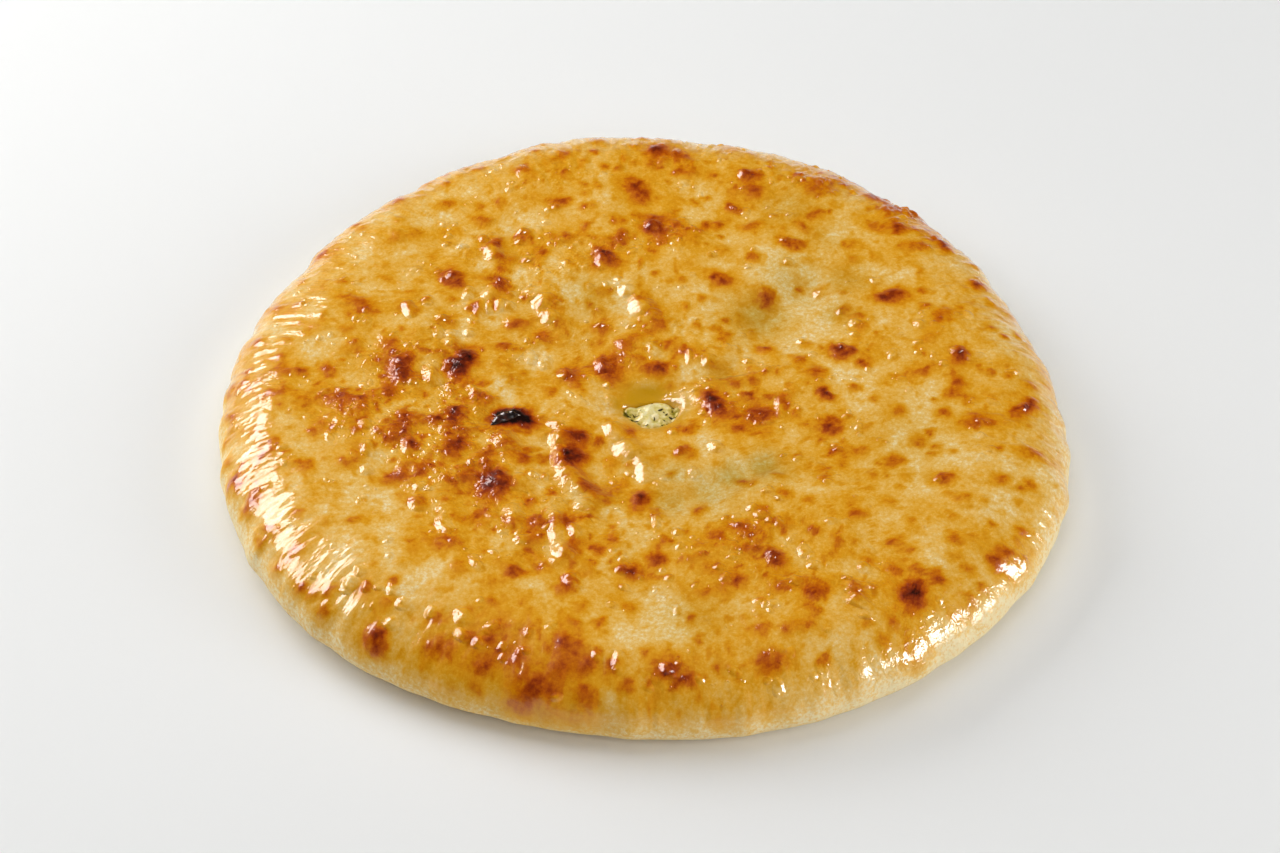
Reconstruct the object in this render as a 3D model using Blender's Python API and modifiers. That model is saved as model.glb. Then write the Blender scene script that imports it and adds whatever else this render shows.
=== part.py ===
"""Cheese and herb pie: a flat round pie of yeast dough, folded shut round its filling and baked.

Two solids are made, in metres, with +Z up and the origin at the middle of the flat base:
  crust    the baked dough, with its puffed rim, sunken middle, blisters, creases and steam vent
  filling  the curd cheese that shows in the vent and runs down to the bottom crust

Run it with  blender --background --python part.py
"""

import math

import bmesh
import bpy
import numpy as np

MM = 0.001

# ---------------------------------------------------------------- driving dimensions, in metres

PIE_RADIUS = 165.0 * MM  # mean radius at the waist, the widest level
WAIST_HEIGHT = 10.5 * MM  # height of the widest level above the base
RIM_HEIGHT = 30.5 * MM  # height of the puffed rim above the base
SHOULDER_WIDTH = 32.0 * MM  # from the waist inwards to the top of the rim
FOOT_WIDTH = 15.0 * MM  # from the waist inwards to where the dough meets the board
MIDDLE_DIP = 4.0 * MM  # how far the middle sinks below the rim
BOTTOM_CRUST = 4.0 * MM  # dough left under the vent

# The outline is a little out of round: (lobes, depth, direction of one lobe in degrees).
OUTLINE_LOBES = (
    (2, 1.4 * MM, -45.0),
    (3, 3.0 * MM, -34.0),
    (6, 0.8 * MM, -15.0),
)

# The rim rises and falls a little on its way round, in the same form.
RIM_WAVES = (
    (1, 1.2 * MM, 200.0),
    (4, 0.7 * MM, 215.0),
    (9, 0.4 * MM, 20.0),
)

# The vent that the baker pokes in the top, seen from above.
VENT_CENTRE = (3.5 * MM, -9.0 * MM)
# How far its uneven edge lies from its middle, in mm, every 22.5 degrees from +X towards +Y.
VENT_EDGE = (10.6, 12.2, 11.2, 9.4, 8.8, 8.0, 9.8, 13.0, 12.0, 9.6, 8.2, 8.5, 8.5, 8.7, 8.8, 9.4)
VENT_BASIN_RADIUS = 17.0 * MM  # the hollow round it, where butter collects
VENT_BASIN_DEPTH = 3.6 * MM
VENT_LIP_DROP = 1.3 * MM  # how much further the dough sinks where it turns down into the vent

FIT_GAP = 0.3 * MM  # left between the two solids
CURD_TOP = 21.2 * MM  # mean height of the cheese in the vent
CURD_CROWN = 1.2 * MM  # how much higher its middle is than its edge
CURD_LUMP = 1.1 * MM  # height of the lumps in it

# ---------------------------------------------------------------- relief of the top, in millimetres

# Blisters: (x, y, half-length, half-width, turn in degrees, height).
BLISTERS = (
    (-82, 108, 5, 4, 0, 0.6), (-66, 98, 5, 4, 0, 0.9), (-49, 90, 5, 4, 60, 1.1),
    (-14, 76, 7, 5, -40, 1.4), (-3, 117, 10, 5, -70, 1.2), (-19, 119, 4, 3, 0, 0.6),
    (-77, 63, 7, 5, -30, 1.2), (-57, 59, 6, 4, -80, 0.9), (-113, 46, 9, 4, -40, 0.7),
    (-71, 14, 10, 6, 65, 1.7), (-95, 8, 8, 5, 80, 1.4), (-55, 26, 4, 4, 0, 0.8),
    (-83, 6, 7, 3, 70, 1.3), (-28, 7, 9, 3, -60, 1.3), (-13, 13, 8, 6, -60, 1.3),
    (-34, 90, 6, 5, 0, 0.6), (-9, 89, 5, 4, -60, 0.7), (-51, 38, 6, 4, 0, 0.8),
    (5, 144, 5, 4, -30, 0.8), (44, 127, 5, 4, 0, 0.8), (36, 107, 4, 4, 0, 0.7),
    (96, 118, 8, 5, -45, 1.1), (122, 88, 7, 5, -55, 1.3), (134, 64, 6, 4, 60, 1.0),
    (5, 94, 9, 6, -60, 1.3), (60, 84, 7, 4, -25, 0.9), (30, 65, 7, 4, -15, 0.9),
    (50, 53, 7, 5, -70, 1.1), (98, 52, 7, 5, 10, 1.3), (78, 21, 7, 5, -15, 1.3),
    (68, 9, 6, 4, 0, 0.7), (124, 17, 6, 5, 70, 1.3), (47, 24, 5, 4, -20, 0.7),
    (5, 14, 6, 4, 0, 1.0), (9, 27, 6, 4, -30, 0.8), (109, 82, 7, 4, 0, 0.6),
    (-50, -16, 10, 6, -14, 1.7), (-57, -53, 9, 7, 75, 1.5), (-28, -38, 7, 6, 0, 1.5),
    (-72, -36, 7, 5, 70, 0.9), (-88, -33, 5, 4, 90, 1.3), (-117, -8, 9, 5, 0, 0.8),
    (-95, -50, 8, 4, 15, 0.8), (-2, -61, 7, 5, 80, 1.1), (-72, -15, 4, 4, 0, 1.0),
    (-72, -86, 8, 5, 0, 0.8), (-98, -127, 6, 4, -50, 1.0), (-75, -133, 6, 4, 0, 0.7),
    (-40, -152, 6, 4, 0, 0.8), (-28, -108, 6, 4, 60, 1.2), (-6, -99, 6, 4, 0, 1.0),
    (-109, -74, 6, 3, 10, 0.6), (-148, -58, 7, 4, 70, 0.8), (-47, -101, 5, 3, 0, 0.7),
    (18, 1.5, 7.5, 4.5, -12, 0.6), (27, -7, 9, 5, -60, 0.9), (45, -13, 6, 5, 0, 1.3),
    (70, -3, 4, 4, 0, 1.0), (72, -21, 6, 5, 15, 1.1), (16, -34, 5, 4, 0, 1.0),
    (16, -20, 6, 4, 20, 0.9), (148, -9, 8, 4, 60, 1.1), (128, -20, 7, 5, 0, 0.7),
    (113, -51, 5, 4, 0, 1.1), (135, -51, 4, 4, 0, 0.8), (148, -35, 8, 4, 0, 0.8),
    (38, -51, 5, 3, -20, 0.7), (79, -70, 5, 4, -70, 0.8), (49, -93, 5, 4, 80, 1.0),
    (5, -92, 5, 4, 0, 0.8), (99, -109, 7, 6, 70, 0.9), (108, -100, 4, 4, 0, 0.8),
    (63, -113, 4, 4, 0, 0.8), (8, -147, 4, 3, 0, 0.8), (15, -151, 4, 3, 0, 0.8),
    (46, -143, 8, 4, 0, 0.6), (44, -69, 7, 4, 70, 0.9), (78, -112, 8, 4, 80, 1.1),
    (36, -77, 5, 4, 0, 0.7),
)  # fmt: skip

# Ridges of puckered dough: (x and y of one end, x and y of the other, half-width, height).
RIDGES = (
    (-33, -22, -34, -45, 4.0, 2.0),
    (-31, -46, -20, -60, 4.5, 2.0),
    (-36, -64, -33, -92, 4.0, 2.2),
    (-33, -90, -26, -98, 3.5, 1.6),
    (-50, -62, -47, -84, 3.5, 1.4),
    (-56, -26, -53, -40, 4.0, 1.6),
    (-14, -20, -4, -38, 4.0, 1.9),
    (-24, -62, -27, -84, 3.5, 1.2),
    (-62, 56, -54, 40, 5.0, 1.3),
    (-43, 57, -38, 38, 4.0, 1.7),
    (-8, 58, -1, 42, 4.0, 1.6),
    (-62, 86, -62, 72, 3.0, 1.1),
    (23, 5, 36, 6, 3.5, 1.1),
    (36, 6, 52, 12, 4.0, 1.0),
    (-76, -68, -72, -82, 3.5, 1.1),
)

# Creases, where the dough has sunk on to the filling, in the same form, with a depth.
CREASES = (
    (-12, -4, 34, 13, 5.0, 1.6),
    (34, 13, 62, 58, 8.0, 1.5),
    (62, 58, 78, 42, 8.0, 1.1),
    (10, -62, 48, -42, 6.5, 1.6),
    (-62, -20, -44, 8, 6.0, 1.0),
    (-46, -58, -42, -98, 4.5, 1.2),
    (-18, -46, -14, -80, 5.0, 0.9),
)

# The whole top also rolls gently: (wavelength in mm, height in mm, direction in degrees, phase).
SWELLS = (
    (96, 0.55, 20, 0.4),
    (71, 0.50, 103, 2.1),
    (52, 0.40, 61, 4.0),
    (38, 0.28, 158, 5.2),
    (29, 0.22, 8, 1.3),
)

# Small blisters that are strewn at random between the named ones.
STREWN_SEED = 7
STREWN_COUNT = 260
STREWN_RADII = (1.8, 4.4)  # mm
STREWN_HEIGHTS = (0.25, 0.65)  # mm

# The dough is drawn in towards the base in shallow radial gathers all round the shoulder.
GATHERS = ((47, 0.32 * MM, 0.0), (71, 0.22 * MM, 1.1), (29, 0.35 * MM, 2.3))

# ---------------------------------------------------------------- mesh sizes

TURN_STEPS = 208  # steps of the turned body
TOP_RINGS = 62  # rings from the middle of the top to the rim
ROUND_RINGS = 22  # rings round the shoulder and the foot
CRUST_TRIANGLES = 10600
VENT_SIDES = 40
CURD_RINGS = 9


# ---------------------------------------------------------------- outline and profile


def lobed(angle, lobes):
    """Sum of cosine lobes at this angle, in metres."""
    return sum(
        depth * np.cos(count * (angle - math.radians(heading)))
        for count, depth, heading in lobes
    )


def body_profile():
    """Half section of the smooth pie, from the middle of the top round the side to the middle of the base."""
    top_radius = PIE_RADIUS - SHOULDER_WIDTH
    points = []
    for ring in range(TOP_RINGS):
        radius = top_radius * ring / TOP_RINGS
        sink = MIDDLE_DIP * 0.5 * (1 + math.cos(math.pi * radius / top_radius))
        points.append((radius, RIM_HEIGHT - sink))
    for ring in range(ROUND_RINGS):  # shoulder, a quarter ellipse down to the waist
        turn = 0.5 * math.pi * ring / ROUND_RINGS
        points.append(
            (
                top_radius + SHOULDER_WIDTH * math.sin(turn),
                WAIST_HEIGHT + (RIM_HEIGHT - WAIST_HEIGHT) * math.cos(turn),
            )
        )
    foot_rings = ROUND_RINGS // 2
    for ring in range(foot_rings + 1):  # foot, a quarter ellipse in to the base
        turn = 0.5 * math.pi * ring / foot_rings
        points.append(
            (
                PIE_RADIUS - FOOT_WIDTH * (1 - math.cos(turn)),
                WAIST_HEIGHT * (1 - math.sin(turn)),
            )
        )
    base_radius = PIE_RADIUS - FOOT_WIDTH
    base_rings = 6
    points += [
        (base_radius * (1 - ring / base_rings), 0.0)
        for ring in range(1, base_rings + 1)
    ]
    return points


# ---------------------------------------------------------------- relief


def blister_relief(x, y, blisters):
    """Height of soft domes, in mm: each is its height times the 1.5th power of 1 minus its squared distance."""
    height = np.zeros_like(x)
    for centre_x, centre_y, half_length, half_width, turn, rise in blisters:
        cos, sin = math.cos(math.radians(turn)), math.sin(math.radians(turn))
        along = ((x - centre_x) * cos + (y - centre_y) * sin) / half_length
        across = ((y - centre_y) * cos - (x - centre_x) * sin) / half_width
        inside = np.clip(1 - along**2 - across**2, 0, None)
        height = np.maximum(height, rise * inside * np.sqrt(inside))
    return height


def strewn_blisters():
    """Small random blisters over the top, kept clear of the named ones and of the vent."""
    rng = np.random.default_rng(STREWN_SEED)
    kept_clear = [(b[0], b[1], max(b[2], b[3])) for b in BLISTERS]
    kept_clear.append((VENT_CENTRE[0] / MM, VENT_CENTRE[1] / MM, VENT_BASIN_RADIUS / MM))
    found = []
    while len(found) < STREWN_COUNT:
        distance = (PIE_RADIUS / MM - 4) * math.sqrt(rng.uniform())
        angle = rng.uniform(0, 2 * math.pi)
        x, y = distance * math.cos(angle), distance * math.sin(angle)
        radius, rise = rng.uniform(*STREWN_RADII), rng.uniform(*STREWN_HEIGHTS)
        if all(math.hypot(x - a, y - b) > r + 0.6 * radius for a, b, r in kept_clear):
            found.append((x, y, radius, radius, 0, rise))
            kept_clear.append((x, y, radius))
    return found


def fold_relief(x, y, folds):
    """Height of rounded ridges along straight lines, in mm: a bell curve to the sides and past the ends."""
    height = np.zeros_like(x)
    for start_x, start_y, end_x, end_y, half_width, rise in folds:
        run_x, run_y = end_x - start_x, end_y - start_y
        along = ((x - start_x) * run_x + (y - start_y) * run_y) / (run_x**2 + run_y**2)
        along = np.clip(along, 0, 1)
        gap = np.hypot(x - start_x - along * run_x, y - start_y - along * run_y)
        height += rise * np.exp(-((gap / half_width) ** 2))
    return height


def swell_relief(x, y):
    """Sum of a few long sine waves that cross the pie, in mm."""
    height = np.zeros_like(x)
    for wavelength, rise, heading, phase in SWELLS:
        heading = math.radians(heading)
        travelled = x * math.cos(heading) + y * math.sin(heading)
        height += rise * np.sin(2 * math.pi * travelled / wavelength + phase)
    return height


def vent_edge(angle):
    """Distance of the vent's edge from its middle at this angle, in mm, rounded between the sizes given."""
    step = angle / (2 * math.pi) * len(VENT_EDGE)
    number, share = np.floor(step).astype(int), step - np.floor(step)
    edge = np.array(VENT_EDGE)
    here, after = edge[number % len(edge)], edge[(number + 1) % len(edge)]
    return here + (after - here) * share**2 * (3 - 2 * share)


def basin_relief(x, y):
    """The hollow round the vent, in mm: a bell curve below the top, and a short drop to the vent's edge."""
    aside, up = x - VENT_CENTRE[0] / MM, y - VENT_CENTRE[1] / MM
    gap = np.hypot(aside, up)
    hollow = VENT_BASIN_DEPTH * np.exp(-((gap / (VENT_BASIN_RADIUS / MM)) ** 2))
    away = np.clip((gap / vent_edge(np.arctan2(up, aside)) - 0.95) / 0.45, 0, 1)
    return -(hollow + VENT_LIP_DROP * (1 - away**2 * (3 - 2 * away))) / MM


def shape_dough(mesh):
    """Moves the turned body's vertices on to the lobed outline, then raises the relief of its upper side."""
    points = np.empty(len(mesh.vertices) * 3)
    mesh.vertices.foreach_get("co", points)
    x, y, z = points.reshape(-1, 3).T
    radius, angle = np.hypot(x, y), np.arctan2(y, x)

    # How far out each point is, from 0 at the middle to 1 at the waist, and how far up.
    outward = np.clip(radius / PIE_RADIUS, 0, 1)
    upward = np.clip((z - WAIST_HEIGHT) / (RIM_HEIGHT - WAIST_HEIGHT), 0, 1)

    rim_share = outward**4 * upward
    z = z + rim_share * lobed(angle, RIM_WAVES)
    radius = radius + outward**3 * lobed(angle, OUTLINE_LOBES)

    # Radial gathers swell the shoulder and the side, and die out at the base and on the top.
    gather = sum(
        depth * np.cos(count * angle + phase) for count, depth, phase in GATHERS
    )
    shoulder = np.clip((outward - 0.78) / 0.22, 0, 1) * np.clip(z / WAIST_HEIGHT, 0, 1)
    radius = radius + shoulder * gather
    x, y = radius * np.cos(angle), radius * np.sin(angle)

    x_mm, y_mm = x / MM, y / MM
    relief = (
        blister_relief(x_mm, y_mm, [*BLISTERS, *strewn_blisters()])
        + fold_relief(x_mm, y_mm, RIDGES)
        - fold_relief(x_mm, y_mm, CREASES)
        + swell_relief(x_mm, y_mm)
        + basin_relief(x_mm, y_mm)
    )
    # On the shoulder the relief leans outwards with the surface, so that a blister there stands off it.
    lean = np.clip((outward - 0.80) / 0.20, 0, 1) * (1 - upward)
    top_share = np.clip(upward * 2.2, 0, 1) * (z > WAIST_HEIGHT)
    z = z + MM * relief * top_share
    reach = 1 + MM * relief * top_share * lean / np.maximum(radius, MM)
    moved = np.stack([x * reach, y * reach, z], axis=1)
    mesh.vertices.foreach_set("co", moved.ravel())
    mesh.update()


# ---------------------------------------------------------------- objects


def new_collection(name):
    collection = bpy.data.collections.new(name)
    bpy.context.scene.collection.children.link(collection)
    return collection


def new_material(name, colour, roughness):
    material = bpy.data.materials.new(name)
    material.use_nodes = True
    shader = material.node_tree.nodes["Principled BSDF"]
    shader.inputs["Base Color"].default_value = (*colour, 1.0)
    shader.inputs["Roughness"].default_value = roughness
    shader.inputs["Metallic"].default_value = 0.0
    return material


def turned_mesh(name, profile, steps):
    """Mesh of a half section turned about Z. The section runs down the outer side, so the faces point out."""
    section = bpy.data.meshes.new(name)
    edges = [(i, i + 1) for i in range(len(profile) - 1)]
    section.from_pydata([(radius, 0.0, height) for radius, height in profile], edges, [])
    holder = bpy.data.objects.new(name, section)
    bpy.context.scene.collection.objects.link(holder)
    screw = holder.modifiers.new("turn", "SCREW")
    screw.steps = screw.render_steps = steps
    screw.use_merge_vertices = True
    screw.merge_threshold = 0.00001
    bpy.context.view_layer.update()
    graph = bpy.context.evaluated_depsgraph_get()
    mesh = bpy.data.meshes.new_from_object(holder.evaluated_get(graph))
    bpy.data.objects.remove(holder)
    bpy.data.meshes.remove(section)
    return mesh


def make_vent_cutter(collection):
    """Upright plug of the vent's outline, from the bottom crust to clear above the top."""
    body = bmesh.new()
    bmesh.ops.create_cone(
        body,
        cap_ends=True,
        segments=VENT_SIDES,
        radius1=1.0,
        radius2=1.0,
        depth=2 * RIM_HEIGHT,
    )
    for vertex in body.verts:
        angle = math.atan2(vertex.co.y, vertex.co.x)
        reach = vent_edge(np.array(angle)) * MM + FIT_GAP
        vertex.co.x = VENT_CENTRE[0] + reach * math.cos(angle)
        vertex.co.y = VENT_CENTRE[1] + reach * math.sin(angle)
        vertex.co.z += RIM_HEIGHT + BOTTOM_CRUST - FIT_GAP
    mesh = bpy.data.meshes.new("vent_cutter")
    body.to_mesh(mesh)
    body.free()
    cutter = bpy.data.objects.new("vent_cutter", mesh)
    cutter.hide_render = True
    cutter.display_type = "WIRE"
    collection.objects.link(cutter)
    return cutter


def make_crust(collection, cutter):
    """Turned body, shaped as dough, thinned to few faces where it is smooth, with the vent cut in it."""
    mesh = turned_mesh("crust", body_profile(), TURN_STEPS)
    shape_dough(mesh)
    mesh.shade_smooth()
    mesh.materials.clear()
    mesh.materials.append(new_material("golden_baked_dough", (0.62, 0.33, 0.08), 0.38))
    crust = bpy.data.objects.new("crust", mesh)
    collection.objects.link(crust)

    mesh.calc_loop_triangles()
    thin = crust.modifiers.new("fewer_faces", "DECIMATE")
    thin.ratio = CRUST_TRIANGLES / len(mesh.loop_triangles)
    vent = crust.modifiers.new("vent", "BOOLEAN")
    vent.operation = "DIFFERENCE"
    vent.object = cutter
    return crust


def curd_relief(x, y):
    """Lumps of curd on top of the cheese, in metres: three crossing waves, higher in the middle."""
    x, y = x / MM, y / MM
    lumps = (
        np.sin(0.62 * x + 0.4) * np.cos(0.85 * y + 1.0)
        + 0.6 * np.sin(1.10 * x - 0.7 * y + 2.0)
        + 0.5 * np.cos(0.5 * x + 1.3 * y)
    )
    return CURD_LUMP * 0.55 * lumps


def make_filling(collection):
    """Plug of curd cheese: the vent's outline less the gap, with a lumpy top, down to the bottom crust."""
    # A unit drum is turned first: out along its top, then down its side and in along its bottom.
    section = [(ring / CURD_RINGS, 1.0) for ring in range(CURD_RINGS + 1)]
    section += [(1.0, 0.0), (0.0, 0.0)]
    mesh = turned_mesh("filling", section, VENT_SIDES)
    points = np.empty(len(mesh.vertices) * 3)
    mesh.vertices.foreach_get("co", points)
    x, y, level = points.reshape(-1, 3).T
    share, angle = np.hypot(x, y), np.arctan2(y, x)
    reach = share * vent_edge(angle) * MM
    x, y = reach * np.cos(angle), reach * np.sin(angle)
    top = CURD_TOP + CURD_CROWN * (1 - share**2) + curd_relief(x, y)
    z = np.where(level > 0.5, top, BOTTOM_CRUST)
    moved = np.stack([VENT_CENTRE[0] + x, VENT_CENTRE[1] + y, z], axis=1)
    mesh.vertices.foreach_set("co", moved.ravel())
    mesh.update()
    mesh.shade_smooth()
    mesh.materials.clear()
    mesh.materials.append(new_material("curd_cheese_with_herbs", (0.78, 0.70, 0.38), 0.45))
    filling = bpy.data.objects.new("filling", mesh)
    collection.objects.link(filling)
    return filling


def main():
    for old in list(bpy.data.objects):
        bpy.data.objects.remove(old)
    pie = new_collection("cheese_and_herb_pie")
    cutters = new_collection("cutters")
    make_crust(pie, make_vent_cutter(cutters))
    make_filling(pie)


main()
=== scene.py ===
"""Looks of the cheese and herb pie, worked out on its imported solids.

A shut round pie of yeast dough, baked golden and brushed with melted butter while hot, with a vent in the
top that shows its filling of curd cheese and dill.
"""

import math

import bpy
import numpy as np
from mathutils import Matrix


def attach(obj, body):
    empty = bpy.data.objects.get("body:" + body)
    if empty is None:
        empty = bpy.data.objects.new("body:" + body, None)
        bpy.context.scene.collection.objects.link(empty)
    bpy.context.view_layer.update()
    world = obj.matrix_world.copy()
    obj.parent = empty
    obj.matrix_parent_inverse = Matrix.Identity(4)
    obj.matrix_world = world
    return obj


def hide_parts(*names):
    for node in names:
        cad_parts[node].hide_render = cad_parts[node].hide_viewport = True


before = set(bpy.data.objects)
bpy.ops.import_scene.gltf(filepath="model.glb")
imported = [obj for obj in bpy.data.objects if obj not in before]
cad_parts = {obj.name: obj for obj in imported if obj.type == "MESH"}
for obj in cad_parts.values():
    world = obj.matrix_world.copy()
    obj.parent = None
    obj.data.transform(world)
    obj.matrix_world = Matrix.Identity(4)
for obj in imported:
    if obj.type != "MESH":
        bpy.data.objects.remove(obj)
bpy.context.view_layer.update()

# ------------------------------------------------------------------------------------------------ camera
# A short telephoto lens a metre and a half from the pie, looking down at it from the front.

MM = 0.001
CAMERA_HEIGHT_ANGLE = math.radians(43.7)
CAMERA_DISTANCE = 1460 * MM
CAMERA_AIM = (0.0, 0.0, 15 * MM)
LENS_LENGTH = 105.0  # mm, on a 36 mm sensor
FRAMING_SHIFT = (-0.0030, -0.0096)  # the pie sits a little above the middle of the frame

lens = bpy.data.cameras.new("camera")
lens.lens = LENS_LENGTH
lens.shift_x, lens.shift_y = FRAMING_SHIFT
camera = bpy.data.objects.new("camera", lens)
camera.location = (
    CAMERA_AIM[0],
    CAMERA_AIM[1] - CAMERA_DISTANCE * math.cos(CAMERA_HEIGHT_ANGLE),
    CAMERA_AIM[2] + CAMERA_DISTANCE * math.sin(CAMERA_HEIGHT_ANGLE),
)
camera.rotation_euler = (math.pi / 2 - CAMERA_HEIGHT_ANGLE, 0, 0)
bpy.context.scene.collection.objects.link(camera)
bpy.context.scene.camera = camera
bpy.context.scene.view_settings.view_transform = "Standard"


# ------------------------------------------------------------------------------------------------ light
# A wide softbox at the left and a low strip at the right give the wet shine. Four panels that leave no
# reflection, at the left, overhead, at the right and in front, give the even light. The ceiling is dark.

SOFTBOX_RADIANCE = 12.5
SOFTBOX_SIZE = (1.3, 0.82)
STRIP_RADIANCE = 28.0
STRIP_SIZE = (1.2, 0.75)
KEY_POWER = 15.0
OVERHEAD_POWER = 15.0
RIGHT_POWER = 15.0
FRONT_POWER = 6.0
WALL_STRENGTH = 0.16
CEILING_STRENGTH = 0.012
WALL_TOP = 0.16  # sine of the height angle where the wall starts to darken
CEILING_START = 0.42


def linear(colour):
    """Turns an sRGB hex colour into linear red, green and blue, and an alpha of 1."""
    parts = [int(colour[i : i + 2], 16) / 255 for i in (1, 3, 5)]
    return (*[p / 12.92 if p <= 0.04045 else ((p + 0.055) / 1.055) ** 2.4 for p in parts], 1.0)


def add_panel(name, heading, height_angle, distance, size, power, colour, shines):
    """Hangs a rectangular lamp that faces the pie. Heading is counted from +X towards +Y, in degrees.

    One that shines is seen only in reflections, and the others light the pie without being seen in it.
    """
    panel = bpy.data.lights.new(name, "AREA")
    panel.shape = "RECTANGLE"
    panel.size, panel.size_y = size
    panel.energy = power
    panel.color = linear(colour)[:3]
    lamp = bpy.data.objects.new(name, panel)
    turn, rise = math.radians(heading), math.radians(height_angle)
    lamp.location = (
        distance * math.cos(rise) * math.cos(turn),
        distance * math.cos(rise) * math.sin(turn),
        distance * math.sin(rise),
    )
    lamp.rotation_euler = (math.pi / 2 - rise, 0, turn + math.pi / 2)
    lamp.visible_diffuse = not shines
    lamp.visible_glossy = shines
    bpy.context.scene.collection.objects.link(lamp)


# The power of a panel that shines is its radiance times pi times its area.
softbox_power = SOFTBOX_RADIANCE * math.pi * SOFTBOX_SIZE[0] * SOFTBOX_SIZE[1]
strip_power = STRIP_RADIANCE * math.pi * STRIP_SIZE[0] * STRIP_SIZE[1]
add_panel("softbox", 153, 33, 1.6, SOFTBOX_SIZE, softbox_power, "#FFF6F6", True)
add_panel("strip", -18, 14, 2.0, STRIP_SIZE, strip_power, "#FFFFFF", True)
add_panel("key_panel", 148, 28, 1.4, (1.2, 0.8), KEY_POWER, "#FFFEFC", False)
add_panel("overhead_panel", 80, 74, 1.8, (2.0, 1.8), OVERHEAD_POWER, "#FFFFFF", False)
add_panel("right_panel", -20, 24, 1.8, (1.2, 1.0), RIGHT_POWER, "#FFFEFC", False)
add_panel("front_panel", -98, 44, 1.8, (1.2, 1.2), FRONT_POWER, "#FFFEFC", False)


def add_node(material, kind, settings=None, inputs=None):
    """Adds one shader node, sets its options, and fills each input with a value or a link.

    The option "stops" is a colour ramp's places and hex colours, of which there are two or more.
    """
    node = material.node_tree.nodes.new(kind)
    for name, value in (settings or {}).items():
        if name == "stops":
            for place, _ in value[1:-1]:
                node.color_ramp.elements.new(place)
            for element, (place, colour) in zip(node.color_ramp.elements, value):
                element.position = place
                element.color = linear(colour)
        else:
            setattr(node, name, value)
    for name, value in (inputs or {}).items():
        if isinstance(value, bpy.types.NodeSocket):
            material.node_tree.links.new(value, node.inputs[name])
        else:
            node.inputs[name].default_value = value
    return node


room = bpy.data.worlds.new("studio_room")
room.use_nodes = True
room.node_tree.nodes.clear()
gaze = add_node(room, "ShaderNodeTexCoord").outputs["Generated"]
gaze_height = add_node(room, "ShaderNodeSeparateXYZ", inputs={"Vector": gaze}).outputs["Z"]
wall_light = add_node(
    room,
    "ShaderNodeMapRange",
    {"interpolation_type": "SMOOTHSTEP"},
    {
        "Value": gaze_height,
        "From Min": WALL_TOP,
        "From Max": CEILING_START,
        "To Min": WALL_STRENGTH,
        "To Max": CEILING_STRENGTH,
    },
).outputs["Result"]
backdrop = add_node(
    room, "ShaderNodeBackground", inputs={"Color": linear("#FFFFFF"), "Strength": wall_light}
).outputs["Background"]
add_node(room, "ShaderNodeOutputWorld", inputs={"Surface": backdrop})
bpy.context.scene.world = room


# ------------------------------------------------------------------------------------------------ floor
# A plain white table top, painted matt, so wide that its edge is never seen.

FLOOR_HALF_WIDTH = 6.0


def new_material(name, surface):
    """Makes a material whose only nodes are an output and a Principled shader with these inputs."""
    material = bpy.data.materials.new(name)
    material.use_nodes = True
    material.node_tree.nodes.clear()
    shader = add_node(material, "ShaderNodeBsdfPrincipled", inputs=surface)
    add_node(material, "ShaderNodeOutputMaterial", inputs={"Surface": shader.outputs["BSDF"]})
    return material, shader


def plug(material, shader, **sources):
    """Links node outputs into the shader's inputs, each named with underscores for spaces."""
    for name, source in sources.items():
        material.node_tree.links.new(source, shader.inputs[name.replace("_", " ").title()])


def add_surface(name, points, faces, material):
    """Makes a smoothly shaded object at the origin from points in metres and an array or list of faces."""
    mesh = bpy.data.meshes.new(name)
    mesh.from_pydata(points, [], faces)
    mesh.polygons.foreach_set("use_smooth", np.full(len(mesh.polygons), True))
    mesh.materials.append(material)
    piece = bpy.data.objects.new(name, mesh)
    bpy.context.scene.collection.objects.link(piece)
    return piece


# White matt paint: no gloss to speak of, so the pie's shadow is all that shows on it.
floor_paint, _ = new_material(
    "white_matt_paint", {"Base Color": linear("#F0F1F1"), "Roughness": 0.9, "Specular IOR Level": 0.1}
)
floor_corners = FLOOR_HALF_WIDTH * np.array([(-1, -1, 0), (1, -1, 0), (1, 1, 0), (-1, 1, 0)])
floor = add_surface("floor", floor_corners, [(0, 1, 2, 3)], floor_paint)


# ------------------------------------------------------------------------------------------------ crust
# One sheet of soft yeast dough, gathered shut under the pie and pressed out flat by hand. Baking puffs
# its rim, raises blisters that brown first, and leaves the top sunk on the filling. Butter glazes it.

# Sizes of the smooth pie, in mm. They are those of its solid.
PIE_RADIUS = 165.0
WAIST_HEIGHT = 10.5
RIM_HEIGHT = 30.5
SHOULDER_WIDTH = 32.0
FOOT_WIDTH = 15.0
MIDDLE_DIP = 4.0
TOP_RADIUS = PIE_RADIUS - SHOULDER_WIDTH

# Rings of its mesh, and their steps in mm: fine on the top and shoulder, with the relief, coarse on the foot.
TOP_RINGS = 108
SHOULDER_RINGS = 39
FOOT_RINGS = 9
SHOULDER_STEP = 1.06
FOOT_STEP = 2.2

# Lobes round the outline and round the rim's height: (lobes, depth in mm, direction in degrees).
OUTLINE_LOBES = ((2, 1.4, -45), (3, 3.0, -34), (6, 0.8, -15))
RIM_WAVES = ((1, 1.2, 200), (4, 0.7, 215), (9, 0.4, 20))
GATHERS = ((47, 0.32, 0.0), (71, 0.22, 1.1), (29, 0.35, 2.3))

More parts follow.
